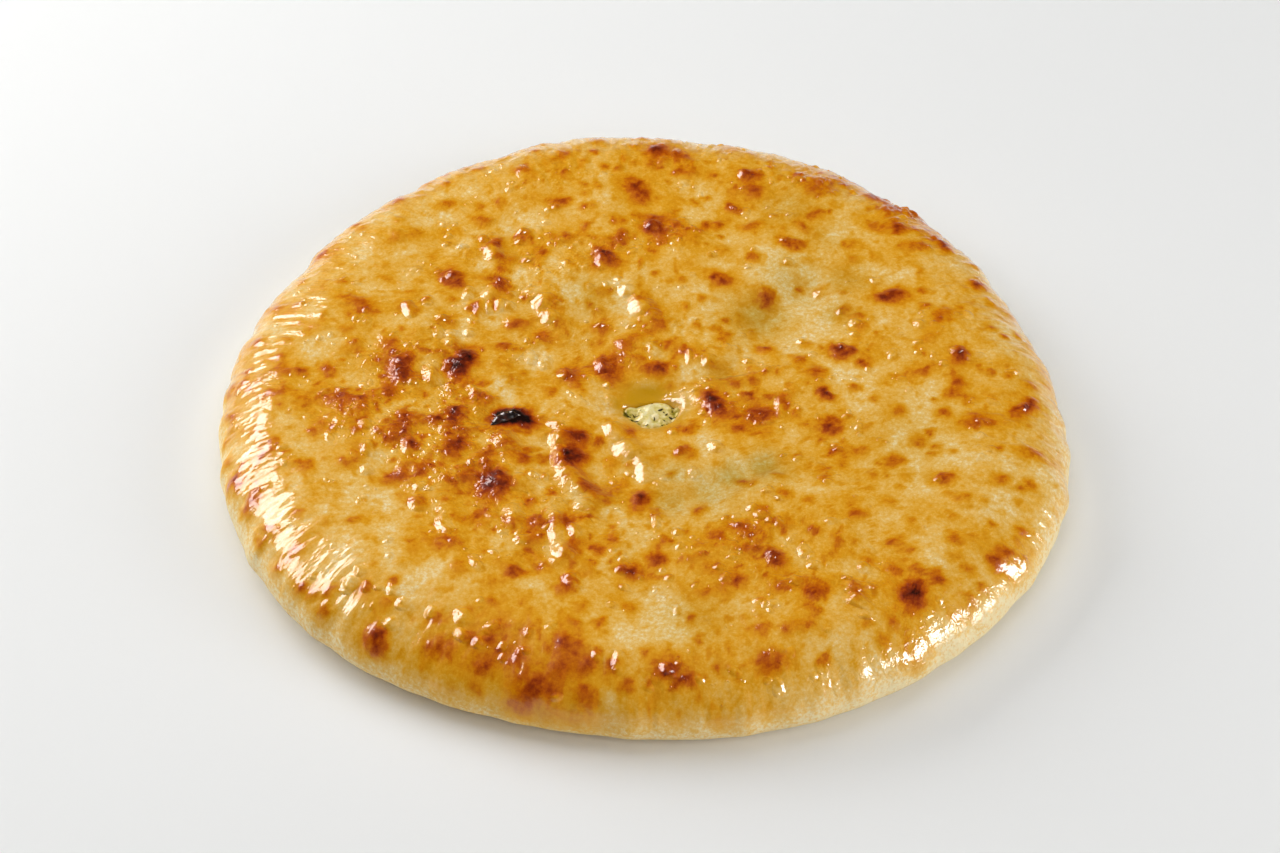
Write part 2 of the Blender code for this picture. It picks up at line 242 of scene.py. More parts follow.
# The vent, in the middle of a hollow where butter collects, and how far its uneven edge lies from its middle,
# in mm, every 22.5 degrees from +X towards +Y.
VENT_CENTRE = (3.5, -9.0)
VENT_EDGE = (10.6, 12.2, 11.2, 9.4, 8.8, 8.0, 9.8, 13.0, 12.0, 9.6, 8.2, 8.5, 8.5, 8.7, 8.8, 9.4)
VENT_DEPTH = 8.0
VENT_WALL = (0.72, 1.02)  # shares of the way to its edge, between which it has its full depth and none
LIP_DROP = 0.4
LIP_REACH = (0.95, 1.6)  # the same for the drop of the dough round it
BASIN_RADIUS = 17.0
BASIN_DEPTH = 3.2
POOL_CENTRE = (1.5, 2.5)
POOL_HALF_SIZES = (9, 5)
POOL_DEPTH = 1.1

# Blisters: (x, y, half-length, half-width, turn in degrees, height, how brown), in mm. One that has nearly
# burnt is 1 or more brown.
BLISTERS = (
    # back left
    (-82, 108, 5, 4, 0, 0.6, 0.55), (-66, 98, 5, 4, 0, 0.9, 0.55), (-49, 90, 5, 4, 60, 1.1, 0.5),
    (-14, 76, 7, 5, -40, 1.4, 0.9), (-3, 117, 10, 5, -70, 1.2, 0.85), (-19, 119, 4, 3, 0, 0.6, 0.5),
    (-77, 63, 7, 5, -30, 1.2, 0.8), (-57, 59, 6, 4, -80, 0.9, 0.75), (-113, 46, 9, 4, -40, 0.7, 0.55),
    (-71, 14, 10, 6, 65, 1.7, 1.1), (-95, 8, 8, 5, 80, 1.4, 0.85), (-55, 26, 4, 4, 0, 0.8, 0.6),
    (-83, 6, 7, 3, 70, 1.3, 0.3), (-28, 7, 9, 3, -60, 1.3, 0.6), (-13, 13, 8, 6, -60, 1.3, 0.75),
    (-34, 90, 6, 5, 0, 0.6, 0.4), (-9, 89, 5, 4, -60, 0.7, 0.6), (-51, 38, 6, 4, 0, 0.8, 0.5),
    # back right
    (5, 144, 5, 4, -30, 0.8, 0.8), (44, 127, 5, 4, 0, 0.8, 0.75), (36, 107, 4, 4, 0, 0.7, 0.6),
    (96, 118, 8, 5, -45, 1.1, 0.7), (122, 88, 7, 5, -55, 1.3, 0.85), (134, 64, 6, 4, 60, 1.0, 0.75),
    (5, 94, 9, 6, -60, 1.3, 0.85), (60, 84, 7, 4, -25, 0.9, 0.8), (30, 65, 7, 4, -15, 0.9, 0.8),
    (50, 53, 7, 5, -70, 1.1, 0.85), (98, 52, 7, 5, 10, 1.3, 1.0), (78, 21, 7, 5, -15, 1.3, 0.95),
    (68, 9, 6, 4, 0, 0.7, 0.55), (124, 17, 6, 5, 70, 1.3, 0.9), (47, 24, 5, 4, -20, 0.7, 0.6),
    (5, 14, 6, 4, 0, 1.0, 0.75), (9, 27, 6, 4, -30, 0.8, 0.55), (109, 82, 7, 4, 0, 0.6, 0.55),
    # front left
    (-50, -16, 10, 6, -14, 1.7, 1.75), (-57, -53, 9, 7, 75, 1.5, 1.1), (-28, -38, 7, 6, 0, 1.5, 0.9),
    (-72, -36, 7, 5, 70, 0.9, 0.7), (-88, -33, 5, 4, 90, 1.3, 0.85), (-117, -8, 9, 5, 0, 0.8, 0.6),
    (-95, -50, 8, 4, 15, 0.8, 0.65), (-2, -61, 7, 5, 80, 1.1, 0.9), (-72, -15, 4, 4, 0, 1.0, 0.8),
    (-72, -86, 8, 5, 0, 0.8, 0.55), (-98, -127, 6, 4, -50, 1.0, 0.8), (-75, -133, 6, 4, 0, 0.7, 0.6),
    (-40, -151, 6, 4, 0, 0.5, 0.70), (-28, -108, 6, 4, 60, 1.2, 0.65), (-6, -99, 6, 4, 0, 1.0, 0.8),
    (-109, -74, 6, 3, 10, 0.6, 0.5), (-148, -58, 7, 4, 70, 0.8, 0.55), (-47, -101, 5, 3, 0, 0.7, 0.6),
    # front right
    (18, 1.5, 7.5, 4.5, -12, 0.3, 0.05), (27, -7, 9, 5, -60, 0.7, 1.05), (45, -13, 6, 5, 0, 1.3, 0.8),
    (70, -3, 4, 4, 0, 1.0, 0.95), (72, -21, 6, 5, 15, 1.1, 0.9), (16, -34, 5, 4, 0, 1.0, 0.7),
    (16, -20, 6, 4, 20, 0.9, 0.6), (148, -9, 8, 4, 60, 1.1, 0.9), (128, -20, 7, 5, 0, 0.7, 0.55),
    (113, -51, 5, 4, 0, 1.1, 0.7), (135, -51, 4, 4, 0, 0.8, 0.6), (148, -35, 8, 4, 0, 0.8, 0.55),
    (38, -51, 5, 3, -20, 0.7, 0.65), (79, -70, 5, 4, -70, 0.8, 0.6), (49, -93, 5, 4, 80, 1.0, 0.75),
    (5, -92, 5, 4, 0, 0.8, 0.7), (99, -109, 7, 6, 70, 0.9, 1.05), (108, -100, 4, 4, 0, 0.8, 0.75),
    (63, -113, 4, 4, 0, 0.8, 0.65), (8, -147, 4, 3, 0, 0.8, 0.7), (15, -151, 4, 3, 0, 0.8, 0.75),
    (46, -143, 8, 4, 0, 0.6, 0.6), (44, -69, 7, 4, 70, 0.9, 0.4), (78, -112, 8, 4, 80, 1.1, 0.4),
    (36, -77, 5, 4, 0, 0.7, 0.6),
)  # fmt: skip

# Flat browned spots and low bubbles between them: (x, y, radius, how brown), in mm.
SPOTS = (
    (-40, 79, 2.5, 0.6), (-50, 128, 4, 0.5), (-36, 110, 2.5, 0.45), (-76, 50, 3, 0.5), (-57, 68, 3, 0.6),
    (-120, 60, 2.5, 0.5), (-124, 11, 3, 0.6), (-142, 17, 4.5, 0.55), (-156, 14, 3, 0.4), (-17, 36, 4, 0.5),
    (-16, 45, 2.5, 0.4), (-77, 36, 3, 0.45), (-24, 96, 3, 0.5), (-21, 141, 2.5, 0.55), (-100, 88, 5, 0.35),
    (-10, 130, 3, 0.4), (-60, 84, 3, 0.4), (19, 130, 4, 0.4), (75, 103, 2, 0.5), (13, 95, 3, 0.5),
    (62, 59, 2.5, 0.6), (79, 45, 3, 0.5), (85, 41, 3, 0.5), (85, 13, 3, 0.55), (60, 17, 4, 0.6),
    (122, 2, 3.5, 0.55), (143, 8, 2.5, 0.45), (137, 35, 3, 0.55), (149, 36, 2.5, 0.5), (112, 46, 2.5, 0.5),
    (117, 37, 2.5, 0.4), (6, 38, 4, 0.5), (28, 36, 2.5, 0.55), (17, 22, 3, 0.5), (32, 41, 3, 0.5),
    (5, 68, 2, 0.6), (45, 76, 3, 0.5), (32, 80, 4, 0.4), (85, 73, 3, 0.45), (93, 94, 2.5, 0.45),
    (65, 94, 3, 0.45), (78, 115, 3, 0.5), (30, 96, 4, 0.5), (43, 96, 3.5, 0.5), (42, 4, 3, 0.5),
    (47, 9, 2, 0.5), (35, 3, 2.5, 0.6), (-61, -6, 4, 0.7), (-25, -26, 4, 0.75), (-17, -27, 3, 0.7),
    (-45, -39, 2.5, 0.55), (-40, -82, 5, 0.5), (-40, -74, 4, 0.45), (-87, -85, 1.5, 0.45),
    (-39, -98, 3, 0.5), (-18, -95, 2, 0.45), (-29, -136, 4, 0.5), (-155, -48, 3, 0.7), (-141, -72, 3, 0.6),
    (-163, -20, 3, 0.8), (-116, -105, 3, 0.6), (-5, -23, 3, 0.6), (-92, -18, 2.5, 0.5), (37, -22, 2.5, 0.7),
    (73, -33, 3, 0.65), (135, -35, 3, 0.55), (147, -52, 3, 0.55), (101, -73, 2.5, 0.5), (72, -84, 3, 0.45),
    (93, -98, 4, 0.6), (101, -98, 4, 0.6), (35, -105, 3.5, 0.6), (65, -141, 2.5, 0.65), (91, -124, 3, 0.6),
    (120, -106, 3, 0.55), (83, -94, 3, 0.6), (120, -62, 5, 0.4), (115, -71, 4, 0.4), (135, -85, 6, 0.5),
    (43, -128, 3, 0.5), (90, -42, 2.5, 0.5), (86, -49, 3, 0.4), (68, -27, 3, 0.5), (-43, -147, 3, 0.45),
    (10, 5, 3, 0.5), (112, -33, 2.5, 0.6), (93, -63, 3.5, 0.45), (116, -60, 3, 0.3), (130, -74, 2.5, 0.6),
    (142, -72, 3, 0.6), (128, -63, 3, 0.3), (85, -57, 2.5, 0.35), (93, -84, 2.5, 0.5), (99, -88, 2.5, 0.45),
    (115, -82, 3.5, 0.5), (139, -77, 3, 0.45), (131, -88, 4.5, 0.6), (125, -101, 3, 0.5),
    (76, -43, 2.5, 0.4), (142, -84, 3, 0.4), (-162, -33, 3.5, 0.75), (-157, -45, 3.5, 0.8),
    (-151, -60, 3.5, 0.7), (-145, -76, 3.5, 0.6), (-137, -89, 3, 0.5), (-127, -101, 3.5, 0.6),
    (-118, -112, 3.5, 0.6), (-161, -8, 3, 0.55), (-163, 8, 3, 0.5), (-152, 32, 3.5, 0.5),
    (-146, 50, 3.5, 0.5), (-138, 66, 3, 0.45), (-128, -86, 2.5, 0.45),
)  # fmt: skip

# Wide patches that have baked darker or stayed paler: (x, y, radius, change in bake), in mm.
PATCHES = (
    (8, 137, 20, 0.14), (48, 120, 20, 0.12), (-20, 74, 16, 0.10), (-105, 77, 26, 0.03),
    (-40, 130, 16, 0.12), (76, 126, 14, 0.16), (12, 92, 12, 0.18), (-60, 74, 12, 0.08),
    (106, 108, 13, 0.16), (50, -10, 18, 0.09), (70, -42, 14, 0.14), (90, 20, 9, 0.06), (66, 32, 11, -0.06),
    (-28, 10, 10, 0.10), (-72, 12, 10, 0.12), (-104, 16, 18, 0.10), (-120, -8, 18, 0.08),
    (-101, -24, 22, 0.14), (-75, -26, 16, 0.14), (-63, -47, 18, 0.11), (-33, -33, 16, 0.11),
    (-77, -72, 16, 0.08), (-48, -76, 12, 0.10), (-20, -86, 18, 0.08), (20, -96, 18, 0.09),
    (36, -84, 18, 0.12), (54, -104, 16, 0.16), (92, -96, 22, 0.10), (124, -80, 14, 0.08),
    (-38, -142, 22, 0.21), (-66, -130, 16, 0.18), (-100, -122, 14, 0.10), (-30, -156, 16, 0.07),
    (8, -144, 16, 0.12), (36, -140, 16, 0.10), (58, -132, 16, 0.08), (-142, -45, 15, 0.14),
    (-145, 2, 14, 0.12), (108, 94, 16, 0.12), (122, 44, 14, 0.12), (112, 12, 14, 0.10),
    (134, -12, 14, 0.10), (-48, 34, 18, 0.08), (-10, 22, 16, 0.14), (34, -6, 14, 0.14), (62, 59, 17, -0.15),
    (28, -52, 16, -0.10), (112, -34, 24, -0.03), (84, -68, 14, 0.06), (2, -130, 14, -0.08),
    (-110, -52, 16, -0.06), (-22, 54, 14, -0.08), (130, -62, 16, -0.03), (14, -2, 7, -0.14),
    (136, 72, 12, -0.05), (92, 34, 9, 0.05), (112, 34, 8, 0.04), (30, 50, 8, 0.04), (106, -88, 12, -0.06),
    (74, 6, 10, -0.06), (130, -32, 12, 0.06), (-84, 10, 14, 0.05), (-60, -92, 14, 0.06),
    (-92, -112, 14, 0.07), (-30, -150, 12, 0.05), (10, -150, 12, 0.05), (-50, 110, 14, 0.05),
    (-72, 90, 14, 0.04), (-122, 50, 18, 0.05), (-10, -130, 12, -0.06), (-150, -10, 14, 0.05),
    (-56, 34, 14, -0.07), (-38, -40, 10, -0.06), (-90, -112, 12, -0.10), (-56, 66, 10, -0.05),
    (18, -56, 8, 0.06), (2, -112, 12, 0.05), (26, -112, 12, 0.05), (132, 12, 10, 0.05), (112, 32, 10, 0.03),
    (84, 70, 8, 0.05), (72, 132, 10, 0.06), (110, 108, 10, 0.05), (50, 92, 8, 0.05), (-30, 92, 10, 0.05),
    (-50, -94, 10, 0.05), (-30, -92, 8, -0.05), (-100, 50, 12, 0.04), (22, 138, 14, 0.05),
    (90, -114, 12, 0.04), (-90, -96, 12, -0.04), (54, -132, 14, -0.04), (94, -60, 16, -0.04),
    (-128, -100, 12, 0.04), (30, 128, 9, -0.07), (50, 130, 7, 0.05), (26, 150, 8, 0.05),
    (-110, 112, 9, -0.06), (10, 70, 9, 0.06), (80, 70, 12, 0.05), (50, 50, 8, -0.05), (92, 30, 9, 0.08),
    (-10, 30, 9, -0.05), (-88, 10, 9, 0.06), (70, 10, 8, -0.05), (30, -10, 7, 0.06), (-132, -30, 9, -0.05),
    (-40, -34, 12, -0.06), (50, -30, 8, 0.05), (150, -38, 12, -0.07), (-50, -52, 8, -0.05),
    (-130, -70, 9, -0.06), (130, -70, 9, -0.06), (112, -90, 10, -0.08), (-90, -110, 9, -0.06),
    (-46, -130, 12, 0.09), (14, -130, 12, -0.06), (72, -130, 9, -0.05), (10, -150, 9, 0.07),
    (-26, -142, 10, 0.05),
)  # fmt: skip

# Where the skin has bubbled most, and least: (x, y, radius, how much), in mm.
BUBBLY = (
    (-72, -22, 42, 0.8), (-48, 58, 34, 0.7), (-28, -72, 32, 0.7), (52, -82, 24, 0.4), (-100, 15, 30, 0.3),
    (12, 20, 26, 0.5), (60, 0, 26, 0.3), (-10, 80, 26, 0.3), (84, 10, 30, 0.2), (-36, -140, 26, -0.6),
    (-92, -122, 22, -0.5), (-66, -132, 20, -0.4),
)  # fmt: skip

# Places where the dough lies thin on the filling and its herbs show through: (x, y, radius, strength).
HERB_SHADOWS = (
    (45, 45, 13, 0.9), (77, 44, 8, 0.5), (80, 62, 10, 0.5), (61, 63, 16, 0.5), (25, -55, 12, 0.6),
    (10, -60, 9, 0.6), (46, -43, 9, 1.0), (33, -48, 9, 0.9), (60, 108, 14, 0.4), (-20, 54, 11, 0.4),
    (30, 10, 8, 0.5), (12, -46, 8, 0.5), (18, -122, 14, 0.35), (0, -38, 8, 0.3), (100, -28, 20, 0.2),
    (-16, -60, 9, 0.3), (70, 88, 12, 0.3),
)  # fmt: skip

# Puckers of dough that stand up, and creases that have sunk, along straight lines:
# (x and y of one end, x and y of the other, half-width, height), in mm.
RIDGES = (
    (-33, -22, -34, -45, 4.0, 2.0), (-31, -46, -20, -60, 4.5, 2.0), (-36, -64, -33, -92, 4.0, 1.8),
    (-33, -90, -26, -98, 3.5, 1.1), (-50, -62, -47, -84, 3.5, 1.4), (-56, -26, -53, -40, 4.0, 1.6),
    (-14, -20, -4, -38, 4.0, 1.9), (-24, -62, -27, -84, 3.5, 1.2), (-62, 56, -54, 40, 5.0, 1.3),
    (-43, 57, -38, 38, 4.0, 1.7), (-8, 58, -1, 42, 4.0, 1.6), (-62, 86, -62, 72, 3.0, 1.1),
    (23, 5, 36, 6, 3.5, 0.7), (36, 6, 52, 12, 4.0, 1.0), (-76, -68, -72, -82, 3.5, 1.1),
)  # fmt: skip
CREASES = (
    (-12, -4, 34, 13, 5.0, 1.6), (34, 13, 62, 58, 8.0, 1.5), (62, 58, 78, 42, 8.0, 1.1),
    (10, -62, 48, -42, 6.5, 1.6), (-62, -20, -44, 8, 6.0, 1.0), (-46, -58, -42, -98, 4.5, 1.2),
    (-18, -46, -14, -80, 5.0, 0.9),
)  # fmt: skip

# The whole top rolls gently: (wavelength, height, direction in degrees, phase), in mm.
SWELLS = (
    (96, 0.55, 20, 0.4), (71, 0.50, 103, 2.1), (52, 0.40, 61, 4.0), (38, 0.28, 158, 5.2),
    (29, 0.22, 8, 1.3),
)  # fmt: skip

# How far the dough has baked, from 0, raw, to 1, charred.
EVEN_BAKE = 0.195
LEAST_BAKE = 0.085
SPOT_BAKE = 1.14
# Height in mm up to which the side has stayed cream, and where it differs: (direction and width in degrees,
# how much higher). The cream reaches higher at the left and right, towards the lamps, which is painted light.
# Then where the cream has a tinge of straw, which also darkens the front left of the side as painted shade:
# direction and width in degrees, and its bake.
CREAM_HEIGHT = 14
CREAM_LINE_AND_LIGHT = ((204, 26, 7.0), (-38, 26, 3.0), (-103, 7, -2.5), (-76, 8, -1.5))
STRAW_AND_SHADE_SIDE = (250.0, 42.0, 0.065)
SPOTS_END = (10, 19)  # heights in mm, between which the spots fade out on the way down the side
# Where the skin of the rim is crinkled most, and least: direction and width in degrees.
CRISP_SIDE = (-46.0, 24.0)
CALM_SIDE = (255.0, 17.0)
RIM_WRINKLES = (108.0, 146.0)  # mm from the middle, where the rim's wrinkles begin and where they are full
# Blisters too small to name, scattered between the others.
STREWN_SEED = 7
STREWN_COUNT = 300
STREWN_RADII = (1.8, 4.4)
STREWN_HEIGHTS = (0.25, 0.65)
# Heights that the tables' blisters and spots come to, as a share of a blister's height and a spot's radius.
BLISTER_SHARE = 0.85
SPOT_SHARE = 0.16
DOME_POWER = 1.2  # above 1, so that the foot of a blister runs out gently
# The bubbles between them: (cell of the noise in mm, its seed, height in mm, sharpness of the creases).
FLOCK_CELL = 13
WIDE_BUBBLES = (5.6, 1, 0.85, 0.22)
SMALL_BUBBLES = (3.2, 2, 0.45, 0.25)


def lobed(angle, lobes):
    """Sum of cosine lobes at this angle: depth times cos(count times the angle from the lobe's direction)."""
    return sum(depth * np.cos(count * (angle - math.radians(heading))) for count, depth, heading in lobes)


def smooth_noise(x, y, cell, seed):
    """Gradient noise from about -1 to 1 over square cells; it repeats after 256 cells.

    Every corner of a cell has a plane through zero that slopes in a random direction. The four planes round
    a place are joined by weights that fade as 6t^5 - 15t^4 + 10t^3 from one corner to the next.
    """
    headings = np.random.default_rng(seed).uniform(0, 2 * math.pi, (256, 256))
    column, row = np.floor(x / cell).astype(int), np.floor(y / cell).astype(int)
    total = np.zeros_like(x)
    for i in (0, 1):
        for j in (0, 1):
            heading = headings[(column + i) % 256, (row + j) % 256]
            across, up = x / cell - column - i, y / cell - row - j
            near_x, near_y = 1 - abs(across), 1 - abs(up)
            weight = near_x**3 * (6 * near_x**2 - 15 * near_x + 10)
            weight = weight * near_y**3 * (6 * near_y**2 - 15 * near_y + 10)
            total += weight * (np.cos(heading) * across + np.sin(heading) * up)
    return 1.6 * total


def smooth_step(value, start, end):
    """Rises smoothly from 0 at start to 1 at end."""
    share = np.clip((value - start) / (end - start), 0, 1)
    return share**2 * (3 - 2 * share)


def crust_profile(reach):
    """Radius, height and outward normal of the smooth pie at a distance walked from its middle, in mm.

    The walk goes out over the top, which sinks as a raised cosine towards the middle, then down a
    quarter ellipse to the waist, then in along a second one to the base. Each ellipse is walked by its
    own turn from 0 to 90 degrees, so a step is a little longer on its flat end.
    """
    shoulder_walk = SHOULDER_STEP * SHOULDER_RINGS
    on_top = np.minimum(reach, TOP_RADIUS)
    down = np.clip((reach - TOP_RADIUS) / shoulder_walk, 0, 1) * math.pi / 2
    under = np.clip((reach - TOP_RADIUS - shoulder_walk) / (FOOT_STEP * FOOT_RINGS), 0, 1) * math.pi / 2
    sunk = MIDDLE_DIP * 0.5 * (1 + np.cos(math.pi * on_top / TOP_RADIUS))
    rise = RIM_HEIGHT - WAIST_HEIGHT
    radius = on_top + SHOULDER_WIDTH * np.sin(down) - FOOT_WIDTH * (1 - np.cos(under))
    height = WAIST_HEIGHT * (1 - np.sin(under)) + rise * np.cos(down) - sunk * (down == 0)
    out = np.sin(down) / SHOULDER_WIDTH
    up = np.cos(down) / rise
    out = np.where(under > 0, np.cos(under) / FOOT_WIDTH, out)
    up = np.where(under > 0, -np.sin(under) / WAIST_HEIGHT, up)
    length = np.hypot(out, up)
    return radius, height, out / length, up / length


def oval_distance(x, y, centre_x, centre_y, half_length, half_width, turn):
    """Squared distance from an oval's middle, where 1 is its edge."""
    cos, sin = math.cos(math.radians(turn)), math.sin(math.radians(turn))
    along = ((x - centre_x) * cos + (y - centre_y) * sin) / half_length
    across = ((y - centre_y) * cos - (x - centre_x) * sin) / half_width
    return along**2 + across**2


def strewn_blisters():
    """Small random blisters over the top, kept clear of the named ones and of the vent."""
    rng = np.random.default_rng(STREWN_SEED)
    kept_clear = [(b[0], b[1], max(b[2], b[3])) for b in BLISTERS]
    kept_clear.append((*VENT_CENTRE, BASIN_RADIUS))
    found = []
    while len(found) < STREWN_COUNT:
        distance = (PIE_RADIUS - 4) * math.sqrt(rng.uniform())
        angle = rng.uniform(0, 2 * math.pi)
        x, y = distance * math.cos(angle), distance * math.sin(angle)
        radius, rise = rng.uniform(*STREWN_RADII), rng.uniform(*STREWN_HEIGHTS)
        if all(math.hypot(x - a, y - b) > r + 0.6 * radius for a, b, r in kept_clear):
            found.append((x, y, radius, radius, 0, rise, 0.15 + 0.45 * rng.uniform()))
            kept_clear.append((x, y, radius))
    return found


STREWN = strewn_blisters()


def folds(x, y, lines, left=1.0, right=1.0):
    """Rounded ridges along straight lines: height times a bell curve of the distance to the line.

    The half-width is multiplied by left on the side towards -X of the line and by right on the other, and
    by values between them in front of it and behind it.
    """
    height = np.zeros_like(x)
    for start_x, start_y, end_x, end_y, half_width, rise in lines:
        run_x, run_y = end_x - start_x, end_y - start_y
        along = ((x - start_x) * run_x + (y - start_y) * run_y) / (run_x**2 + run_y**2)
        along = np.clip(along, 0, 1)
        aside = x - start_x - along * run_x
        gap = np.hypot(aside, y - start_y - along * run_y)
        share = 0.5 + 0.5 * aside / np.maximum(gap, 1e-6)
        height += rise * np.exp(-((gap / half_width / (left + (right - left) * share)) ** 2))
    return height


def vent_edge(angle):
    """Distance of the vent's edge from its middle at this angle, in mm, rounded between the sizes given."""
    step = angle / (2 * math.pi) * len(VENT_EDGE)
    number, share = np.floor(step).astype(int), step - np.floor(step)
    edge = np.array(VENT_EDGE)
    here, after = edge[number % len(edge)], edge[(number + 1) % len(edge)]
    return here + (after - here) * share**2 * (3 - 2 * share)


def vent_reach(x, y):
    """Distance from the vent's middle as a share of the way to its edge."""
    aside, up = x - VENT_CENTRE[0], y - VENT_CENTRE[1]
    return np.hypot(aside, up) / vent_edge(np.arctan2(up, aside))


def pool_share(x, y):
    """How much butter has pooled behind the vent: a bell curve, wider from left to right than it is deep."""
    across = (x - POOL_CENTRE[0]) / POOL_HALF_SIZES[0]
    up = (y - POOL_CENTRE[1]) / POOL_HALF_SIZES[1]
    return np.exp(-(across**2 + up**2))


def wander(x, y):
    """The same places pushed about by some 2 mm, so that ovals and lines drawn on them come out uneven."""
    return (
        x + 1.5 * smooth_noise(x, y, 9, 11) + 0.8 * smooth_noise(x, y, 3.6, 12),
        y + 1.5 * smooth_noise(x, y, 9, 13) + 0.8 * smooth_noise(x, y, 3.6, 14),
    )


def round_side(x, y, heading, width):
    """A bell curve of the angle between each place and a heading from the middle, both in degrees."""
    away = (np.degrees(np.arctan2(y, x)) - heading + 180) % 360 - 180
    return np.exp(-((away / width) ** 2))


def bell(x, y, centre_x, centre_y, radius):
    """A bell curve round a centre: e to the power of minus the squared distance over the squared radius."""
    gap = np.hypot(x - centre_x, y - centre_y)
    return np.exp(-((gap / radius) ** 2))


def patch_bake(x, y):
    """How far the dough has baked round each place: an even gold, changed by bell-shaped patches."""
    bake = np.full_like(x, EVEN_BAKE)
    for *patch, change in PATCHES:
        bake += change * bell(x, y, *patch)
    return bake


def liveliness(x, y):
    """How much the skin has bubbled and puckered, from 0.2 where it stayed flat and pale to 1.5."""
    lively = np.clip((patch_bake(x, y) - 0.14) / 0.30, 0.2, 1.0)
    for *place, more in BUBBLY:
        lively += more * bell(x, y, *place)
    return np.clip(lively, 0.2, 1.5)


def bubble_rise(x, y):
    """Height in mm of the bubbles, which stand in flocks, side by side, with sharp creases between them.

    They are where either of two smooth noises is far from zero, and the creases are where it crosses zero:
    each is a height times one minus e to the power of minus the noise's size over a sharpness.
    """
    flock = smooth_step(smooth_noise(x, y, FLOCK_CELL, 6), -0.35, 0.35)
    bubbles = 0
    for places, (cell, seed, rise, sharpness) in ((wander(x, y), WIDE_BUBBLES), ((x, y), SMALL_BUBBLES)):
        bubbles += rise * (1 - np.exp(-abs(smooth_noise(*places, cell, seed)) / sharpness))
    return liveliness(x, y) * flock * bubbles


def dough_relief(x, y):
    """Height of the dough's relief above the smooth pie, in mm.

    It adds folds, rolling swells, blisters, bubbles, wrinkles that run outwards on the rim, the hollow round
    the vent and the vent itself.
    """
    wide_x, wide_y = wander(x, y)
    # The puckers lean to the left: their crests stand right of their lines, and fall off gently on that side.
    puckers = folds(wide_x - 2.5, wide_y, RIDGES, 0.9, 1.5)
    relief = puckers - folds(wide_x, wide_y, CREASES)
    for wavelength, rise, heading, phase in SWELLS:
        travelled = x * math.cos(math.radians(heading)) + y * math.sin(math.radians(heading))
        relief += rise * np.sin(2 * math.pi * travelled / wavelength + phase)
    # A blister is its height times a power of one minus its squared distance.
    raised = np.zeros_like(x)
    for *oval, rise, _ in [*BLISTERS, *STREWN]:
        inside = np.clip(1 - oval_distance(wide_x, wide_y, *oval), 0, 1)
        raised = np.maximum(raised, BLISTER_SHARE * rise * inside**DOME_POWER)
    for centre_x, centre_y, radius, _ in SPOTS:
        inside = np.clip(1 - oval_distance(wide_x, wide_y, centre_x, centre_y, radius, radius, 0), 0, 1)
        raised = np.maximum(raised, SPOT_SHARE * radius * inside**DOME_POWER)
    relief += raised + bubble_rise(x, y) * (1 - 0.75 * np.clip(puckers / 1.2, 0, 1))
    # The wrinkles lie on 256 and 512 cells round the rim.
    turn, far = np.arctan2(y, x) * 128 / math.pi, np.hypot(x, y)
    wrinkles = 0.30 * smooth_noise(turn, far / 9, 1, 4) + 0.16 * smooth_noise(2 * turn, far / 6, 1, 5)
    relief += wrinkles * smooth_step(far, *RIM_WRINKLES)
    relief -= BASIN_DEPTH * bell(x, y, *VENT_CENTRE, BASIN_RADIUS)
    relief -= POOL_DEPTH * pool_share(x, y)
    reach = vent_reach(x, y)
    relief -= VENT_DEPTH * (1 - smooth_step(reach, *VENT_WALL))
    relief -= LIP_DROP * (1 - smooth_step(reach, *LIP_REACH))
    return relief


def dough_surface(flat_x, flat_y, lift=0.0):
    """Points of the crust, in metres, from places on a flat disc of dough, in mm.

    The disc is wrapped over the smooth pie: its distance from the middle is the walk along the profile.
    The outline's lobes and the gathers push the wrapped disc out, and the relief lifts it along its
    normal. Lift is added to the relief.
    """
    reach, angle = np.hypot(flat_x, flat_y), np.arctan2(flat_y, flat_x)
    radius, height, out, up = crust_profile(reach)
    outward = np.clip(radius / PIE_RADIUS, 0, 1)
    upward = np.clip((height - WAIST_HEIGHT) / (RIM_HEIGHT - WAIST_HEIGHT), 0, 1)
    height = height + outward**4 * upward * lobed(angle, RIM_WAVES)
    radius = radius + outward**3 * lobed(angle, OUTLINE_LOBES)
    gather = sum(depth * np.cos(count * angle + phase) for count, depth, phase in GATHERS)
    shoulder = np.clip((outward - 0.78) / 0.22, 0, 1) * np.clip(height / WAIST_HEIGHT, 0, 1)
    radius = radius + shoulder * gather
    x, y = radius * np.cos(angle), radius * np.sin(angle)
    share = np.clip(upward * 2.2, 0, 1) * (up > 0)
    lift = (dough_relief(x, y) + lift) * share
    radius = radius + lift * out
    height = np.maximum(height + lift * up, 0.0)
    return np.stack([radius * np.cos(angle), radius * np.sin(angle), height], axis=-1) * MM


